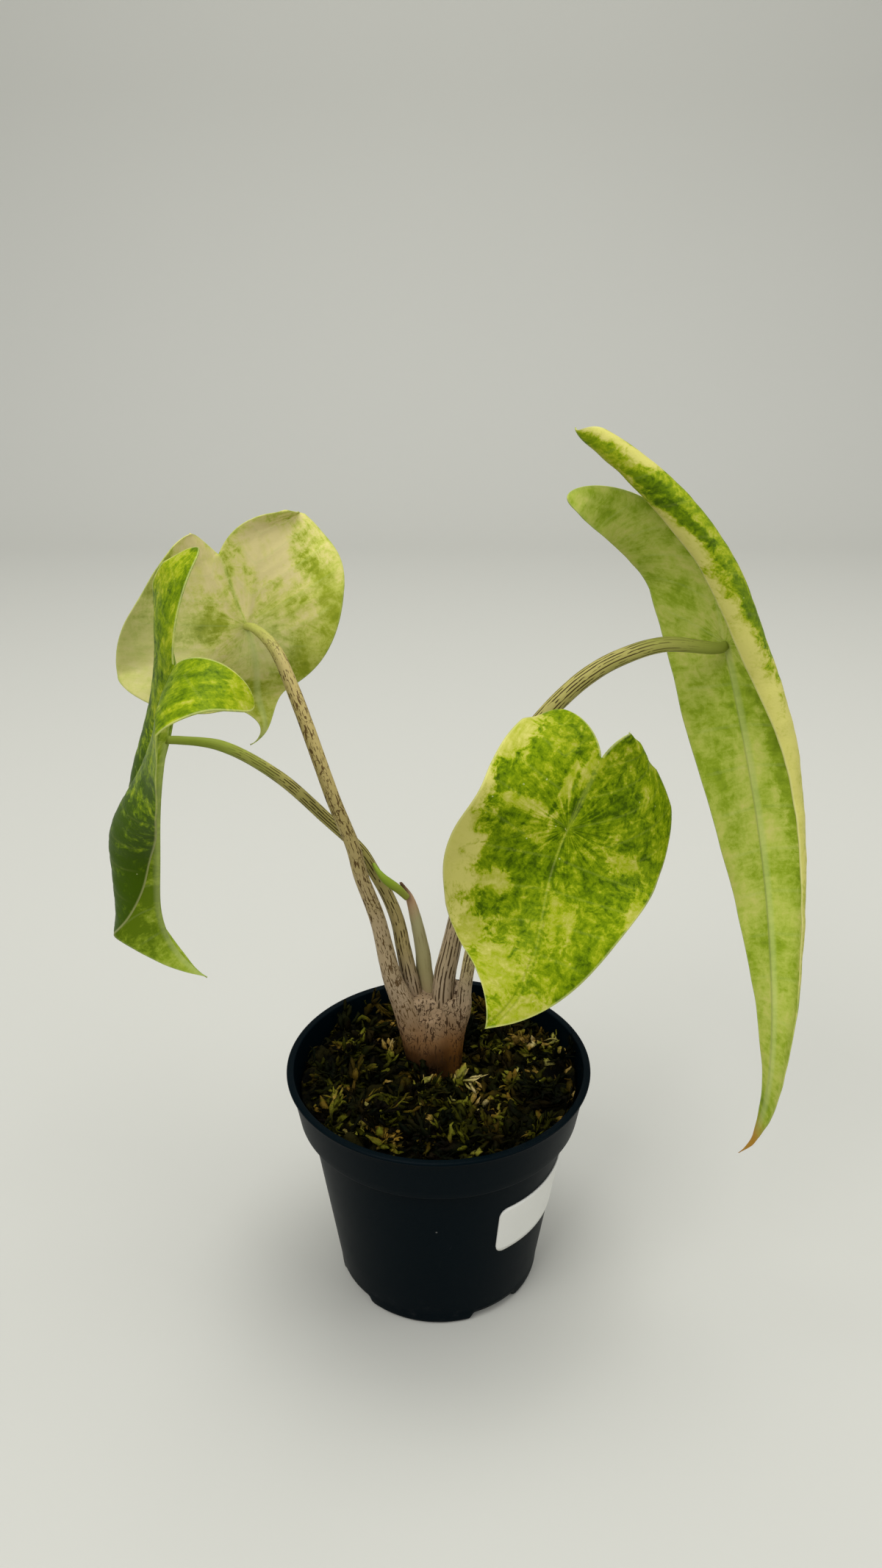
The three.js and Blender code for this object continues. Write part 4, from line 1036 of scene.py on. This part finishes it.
def crooked_lines(free, cloud, least):
    """Thin crooked lines where a cloud passes its middle value, kept where another cloud is above least."""
    squiggle = abs(free.noise(1.7, 2.0, 0.5, 0.6) - 0.5)
    return squiggle.step(0.026, 0.012) * cloud.step(least, least + 0.1)


def petiole_look(name):
    """Stem skin: pinkish tan, then olive tan, and green at the blade. Dark dashes, as long as width / stretch, lie
    in so many ribs round it, with thin crooked lines as far as worms says."""
    skin = PETIOLES[name]
    look = Look(f"petiole_{name}", 0.08)
    share, cosine, sine, along = look.stem()
    free = look.vector(cosine, sine, along * 0.55 + skin.skin_seed * 2.0)
    cloud = free.noise(7.0, 3.0)
    drift = cloud - 0.5
    dash = look.vector(cosine, sine, along * skin.stretch + skin.skin_seed).noise(skin.width, 2.0, 0.5, 0.2)
    least = 0.61 - skin.density * 0.12
    dashes = (dash + drift * 0.2).step(least, least + 0.04)
    if skin.ribs:
        turned = look.math("ARCTAN2", sine, cosine) * skin.ribs + drift * 5.0
        dashes = dashes * look.math("COSINE", turned).step(0.0, 0.5)
    marks = (dashes + crooked_lines(free, cloud, 0.42) * skin.worms).clamp()
    marks = marks * (share + drift * 0.3).step(min(1.0, skin.end_from + 0.12), skin.end_from - 0.12)
    uneven = share + drift * 0.2
    shade = look.coated(
        skin.low, (uneven.step(0.25, 0.55), skin.high),
        (uneven.step(skin.end_from - 0.15, skin.end_from + 0.1), skin.end),
        (cloud.step(0.35, 0.7) * 0.2, [c * 0.65 for c in skin.high]),
    )
    base, level = crown_tone(look, cloud)
    shade = look.coated(base, (level.step(0.95, 1.35), shade), (marks * 0.92, skin.dark))
    grain = look.vector(cosine, sine, along * 0.08).noise(0.6, 2.0)
    return look.finish(shade, 0.46 + drift * 0.2 + marks * 0.08, grain + dash * 0.4, 0.12, 0.4)


def crown_look():
    """Grown-together bases: tan with dark dashes and crooked lines above, dark brown down in the moss, with a
    warmer side towards +X."""
    look = Look("crown_skin", 0.08)
    height, x, y = look.marks()
    along = look.parts(look.place())[2]
    free = look.vector(x, y, along * 0.6)
    cloud = free.noise(8.0, 3.0, 0.55)
    drift = cloud - 0.5
    dash = look.vector(x, y, along * 0.22).noise(0.75, 2.0, 0.5, 0.2)
    dashes = (dash + drift * 0.25).step(0.575, 0.61)
    marks = (dashes + crooked_lines(free, cloud, 0.4)).clamp()
    warm = (x + cloud * 4.0).step(1.0, 9.0) * height.step(0.8, 0.5)
    tone = crown_tone(look, cloud)[0]
    shade = look.coated(tone, (warm * 0.6, (0.14, 0.055, 0.01)), (marks * 0.9, (0.03, 0.014, 0.005)))
    return look.finish(shade, 0.45 + drift * 0.25, dash + cloud, 0.25, 0.4)


def sheath_look():
    """Thin dry sheath: pale grey-green, salmon near its dark tip, with faint lengthwise grain."""
    look = Look("sheath_skin", 0.08)
    share, cosine, sine, along = look.stem()
    grain = look.vector(cosine, sine, along * 0.07).noise(0.55, 3.0, 0.6)
    cloud = look.vector(cosine, sine, along * 0.5).noise(5.0, 3.0)
    shade = look.ramp(
        share + (cloud - 0.5) * 0.12,
        (0.3, (0.28, 0.21, 0.11)), (0.5, (0.32, 0.28, 0.125)), (0.78, (0.35, 0.32, 0.16)),
        (0.9, (0.42, 0.26, 0.15)), (0.97, (0.1, 0.055, 0.03)),
    )
    spots = look.vector(cosine, sine, along * 0.6).cells(2.6).step(0.14, 0.07)
    shade = look.colour((grain.step(0.58, 0.7) * 0.45 + spots * 0.6).clamp(), shade, (0.13, 0.08, 0.03))
    return look.finish(shade, 0.5 + (grain - 0.5) * 0.2, grain, 0.15, 0.5)


def young_leaf_look():
    """Thin young shoot: smooth olive green, slightly clouded."""
    look = Look("young_leaf", 0.1)
    share, cosine, sine = look.marks()
    cloud = look.vector(cosine, sine, share * 12.0).noise(1.6, 3.0)
    shade = look.ramp(
        share + (cloud - 0.5) * 0.3,
        (0.0, (0.2, 0.21, 0.035)), (0.5, (0.19, 0.26, 0.02)), (1.0, (0.2, 0.28, 0.025)),
    )
    return look.finish(shade, 0.38 + cloud * 0.1, cloud, 0.1, 0.3)


def pot_look():
    """Black moulded plastic, slightly blue: fine texture, faint upright scuffs, dust low down and a few pale
    specks."""
    look = Look("pot_plastic", 0.03)
    spot = look.place()
    x, y, z = look.parts(spot)
    cloud = spot.noise(26.0, 4.0, 0.6)
    grain = spot.noise(0.5, 2.0)
    scuff = look.vector(x, y, z * 0.16).noise(1.3, 3.0, 0.55).step(0.66, 0.8) * cloud.step(0.45, 0.62)
    specks = spot.cells(13.0).step(0.055, 0.03) * spot.noise(30.0, 1.0).step(0.5, 0.56)
    dust = spot.noise(3.2, 5.0, 0.7).step(0.5, 0.9) * look.marks()[0].step(15.0, 0.0)
    shade = look.coated(
        (0.0002, 0.0022, 0.0036), (cloud * 0.6, (0.0008, 0.0038, 0.0056)), (scuff * 0.35, (0.018, 0.022, 0.025)),
        (dust * 0.3, (0.06, 0.058, 0.055)), (specks * 0.8, (0.38, 0.37, 0.34)),
    )
    rough = 0.4 + (cloud - 0.5) * 0.16 + scuff * 0.18 + specks * 0.3 + (grain - 0.5) * 0.1
    return look.finish(shade, rough, grain + scuff * 0.4 + specks * 2.0, 0.05, 0.5)


def paper_look():
    """White sticker: matt, slightly warm, with faint fibres and a slightly greyer cloud."""
    look = Look("label_paper", 0.2)
    spot = look.place()
    fibre = spot.noise(0.7, 4.0, 0.6)
    shade = look.coated(
        (0.63, 0.625, 0.575), (spot.noise(9.0, 3.0) * 0.5, (0.56, 0.555, 0.51)),
        (fibre.step(0.55, 0.75) * 0.2, (0.5, 0.49, 0.45)),
    )
    return look.finish(shade, 0.55 + (fibre - 0.5) * 0.15, fibre, 0.05, 0.3)


def soil_look():
    """Potting mix: very dark brown crumbs."""
    look = Look("potting_mix", 0.05)
    spot = look.place()
    cloud = spot.noise(5.0, 4.0, 0.6)
    shade = look.colour(cloud.step(0.4, 0.7), (0.012, 0.008, 0.005), (0.05, 0.032, 0.018))
    return look.finish(shade, 0.85 + (cloud - 0.5) * 0.2, spot.cells(2.6) + cloud, 0.8, 0.7)


def painted_shade_bed_look():
    """The cushion between the strands, near black as painted shade of the gaps, with olive and brown on its higher
    crumbs that is partly their own colour and partly painted light on their tops.
    """
    look = Look("moss_bed", 0.03)
    spot = look.place()
    cloud = spot.noise(9.0, 4.0, 0.6)
    fine = spot.noise(1.2, 3.0, 0.6)
    # Painted shade and light: the near-black colour paints the shade in the gaps, and higher crumbs get lighter
    # olive and brown as painted light on their tops.
    high = (look.marks()[0] * 0.3 + fine).step(0.5, 0.9)
    shade = look.coated(
        (0.001, 0.001, 0.0005), (cloud.step(0.4, 0.62), (0.003, 0.003, 0.001)), (high * 0.7, (0.014, 0.012, 0.002)),
    )
    return look.finish(shade, 0.8 + (fine - 0.5) * 0.3, fine + cloud, 1.0, 0.8)


def strand_look():
    """Moss strands: each has its own tone from brown through olive and yellow green to straw, darkened towards
    its foot as painted shade."""
    look = Look("moss_strands", 0.02)
    own, along, second = look.marks()
    spot = look.place()
    cloud = spot.noise(14.0, 2.0)
    green = spot.noise(11.0, 2.0, 0.5, 0.5)
    fine = spot.noise(0.8, 3.0, 0.6)
    tone = (own * 0.84 + (cloud - 0.5) * 1.4 - 0.08).clamp()
    brown, olive = (
        look.ramp(tone, *zip((0.0, 0.3, 0.5, 0.68, 0.83, 0.96), colours))
        for colours in (
            ((0.002, 0.001, 0.0005), (0.01, 0.007, 0.001), (0.035, 0.023, 0.002), (0.14, 0.082, 0.01),
             (0.25, 0.16, 0.035), (0.4, 0.31, 0.13)),
            ((0.001, 0.002, 0.0005), (0.007, 0.008, 0.001), (0.027, 0.027, 0.001), (0.09, 0.09, 0.006),
             (0.17, 0.16, 0.018), (0.34, 0.3, 0.09)),
        )
    )
    shade = look.coated(
        brown, ((green + second * 0.16).step(0.48, 0.64), olive),
        # Painted shade: each strand turns near black towards its foot, down among the other strands.
        (along.step(0.45, 0.02) * 0.85, (0.003, 0.003, 0.001)),
        (fine.step(0.48, 0.66) * 0.55, (0.008, 0.006, 0.002)),
    )
    return look.finish(shade, 0.62 + (fine - 0.5) * 0.3, fine, 0.3, 0.6)


def studio_look():
    """Floor and backdrop: one pale paint with a trace of unevenness."""
    look = Look("studio_paint")
    cloud = look.place().noise(180.0, 2.0)
    paint = (0.44, 0.437, 0.393)
    return look.finish(look.colour(cloud * 0.2, paint, [c * 0.96 for c in paint]), cloud * 0.05 + 0.85)


# The plant

for name in LEAVES:
    blade(name, blade_look(name))
for name, table in PETIOLES.items():
    leaf, (foot, above, top) = LEAVES[name], table.radii
    at, up = np.array(leaf.at, float), blade_axes(leaf)[:, 2]
    stem(
        f"stem_{name}", table, [(0, foot), (CROWN_SHARE, above), (0.9, top), (1, top * 0.72)],
        petiole_look(name), "petiole_skin", f"petiole_{name}", (at - up * leaf.arrival, at - up * 0.4),
    )
crown(crown_look())
foot, middle, top = SHEATH.radii
stem(
    "old_sheath", SHEATH, [(0, foot), (0.42, middle), (0.9, 1.6), (1, top)],
    sheath_look(), "sheath_skin", "sheath", rough=0.05, flat=0.7,
)
foot, middle, top = NEW_LEAF.radii
stem(
    "young_leaf", NEW_LEAF, [(0, foot), (0.5, middle), (1, top)],
    young_leaf_look(), "young_leaf", "new_leaf", sides=18, count=90,
)
pot_wall(pot_look())
sticker(paper_look())
moss_bed(painted_shade_bed_look())
moss_strands(strand_look())
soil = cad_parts["soil"].data
soil.materials.clear()
soil.materials.append(soil_look())


# Floor, light and camera, in metres

FLOOR_NEAR, FLOOR_FAR, FLOOR_HALF_WIDTH = -3.0, 1.2, 4.0
WALL_BEND, WALL_TOP, WALL_STEPS = 0.6, 4.0, 24
WORLD_COLOUR, WORLD_STRENGTH = (0.95, 0.97, 1.0, 1), 0.68
LIGHTS = {  # place, aim, size, power
    "key": ((-0.7, -0.9, 1.4), (0, 0, 0.15), 0.9, 15.8),
    "fill": ((1.2, -0.5, 0.8), (0, 0, 0.15), 1.0, 6.0),
    "top": ((0.1, 0.3, 1.6), (0, 0, 0.1), 1.2, 12.8),
    "backdrop": ((0, 0.35, 1.5), (0, 1.6, 0.3), 1.0, 6.6),
}


def studio():
    """A pale floor that curves up to a wall behind: one profile of a flat, a quarter round and a flat."""
    turned = np.linspace(0, math.pi / 2, WALL_STEPS)
    curve = [(FLOOR_FAR + WALL_BEND * math.sin(a), WALL_BEND * (1 - math.cos(a))) for a in turned]
    line = [(FLOOR_NEAR, 0.0), *curve, (FLOOR_FAR + WALL_BEND, WALL_TOP)]
    points = [(x, y, z) for y, z in line for x in (-FLOOR_HALF_WIDTH, FLOOR_HALF_WIDTH)]
    faces = [(k, k + 1, k + 3, k + 2) for k in range(0, 2 * len(line) - 2, 2)]
    mesh = bpy.data.meshes.new("studio_floor")
    mesh.from_pydata(points, [], faces)
    mesh.polygons.foreach_set("use_smooth", np.ones(len(faces), bool))
    mesh.materials.append(studio_look())
    placed("studio_floor", mesh)


studio()
for name, (place, toward, size, power) in LIGHTS.items():
    lamp = bpy.data.lights.new(name, "AREA")
    lamp.shape, lamp.size, lamp.energy = "SQUARE", size, power
    made = placed(name, lamp)
    made.location = place
    made.rotation_euler = (Vector(toward) - Vector(place)).to_track_quat("-Z", "Y").to_euler()

world = bpy.data.worlds.new("soft_room")
world.use_nodes = True
background = world.node_tree.nodes["Background"].inputs
background["Color"].default_value, background["Strength"].default_value = WORLD_COLOUR, WORLD_STRENGTH
bpy.context.scene.view_settings.view_transform = "Standard"
bpy.context.scene.world = world

lens = bpy.data.cameras.new("camera")
lens.lens, lens.sensor_width, lens.sensor_fit, lens.clip_start = CAMERA_LENS, CAMERA_SENSOR, "AUTO", 0.01
camera = placed("camera", lens)
camera.location = [c * MM for c in CAMERA_PLACE]
camera.rotation_euler = Euler((math.radians(90 - CAMERA_DOWN), 0, 0))
bpy.context.scene.camera = camera
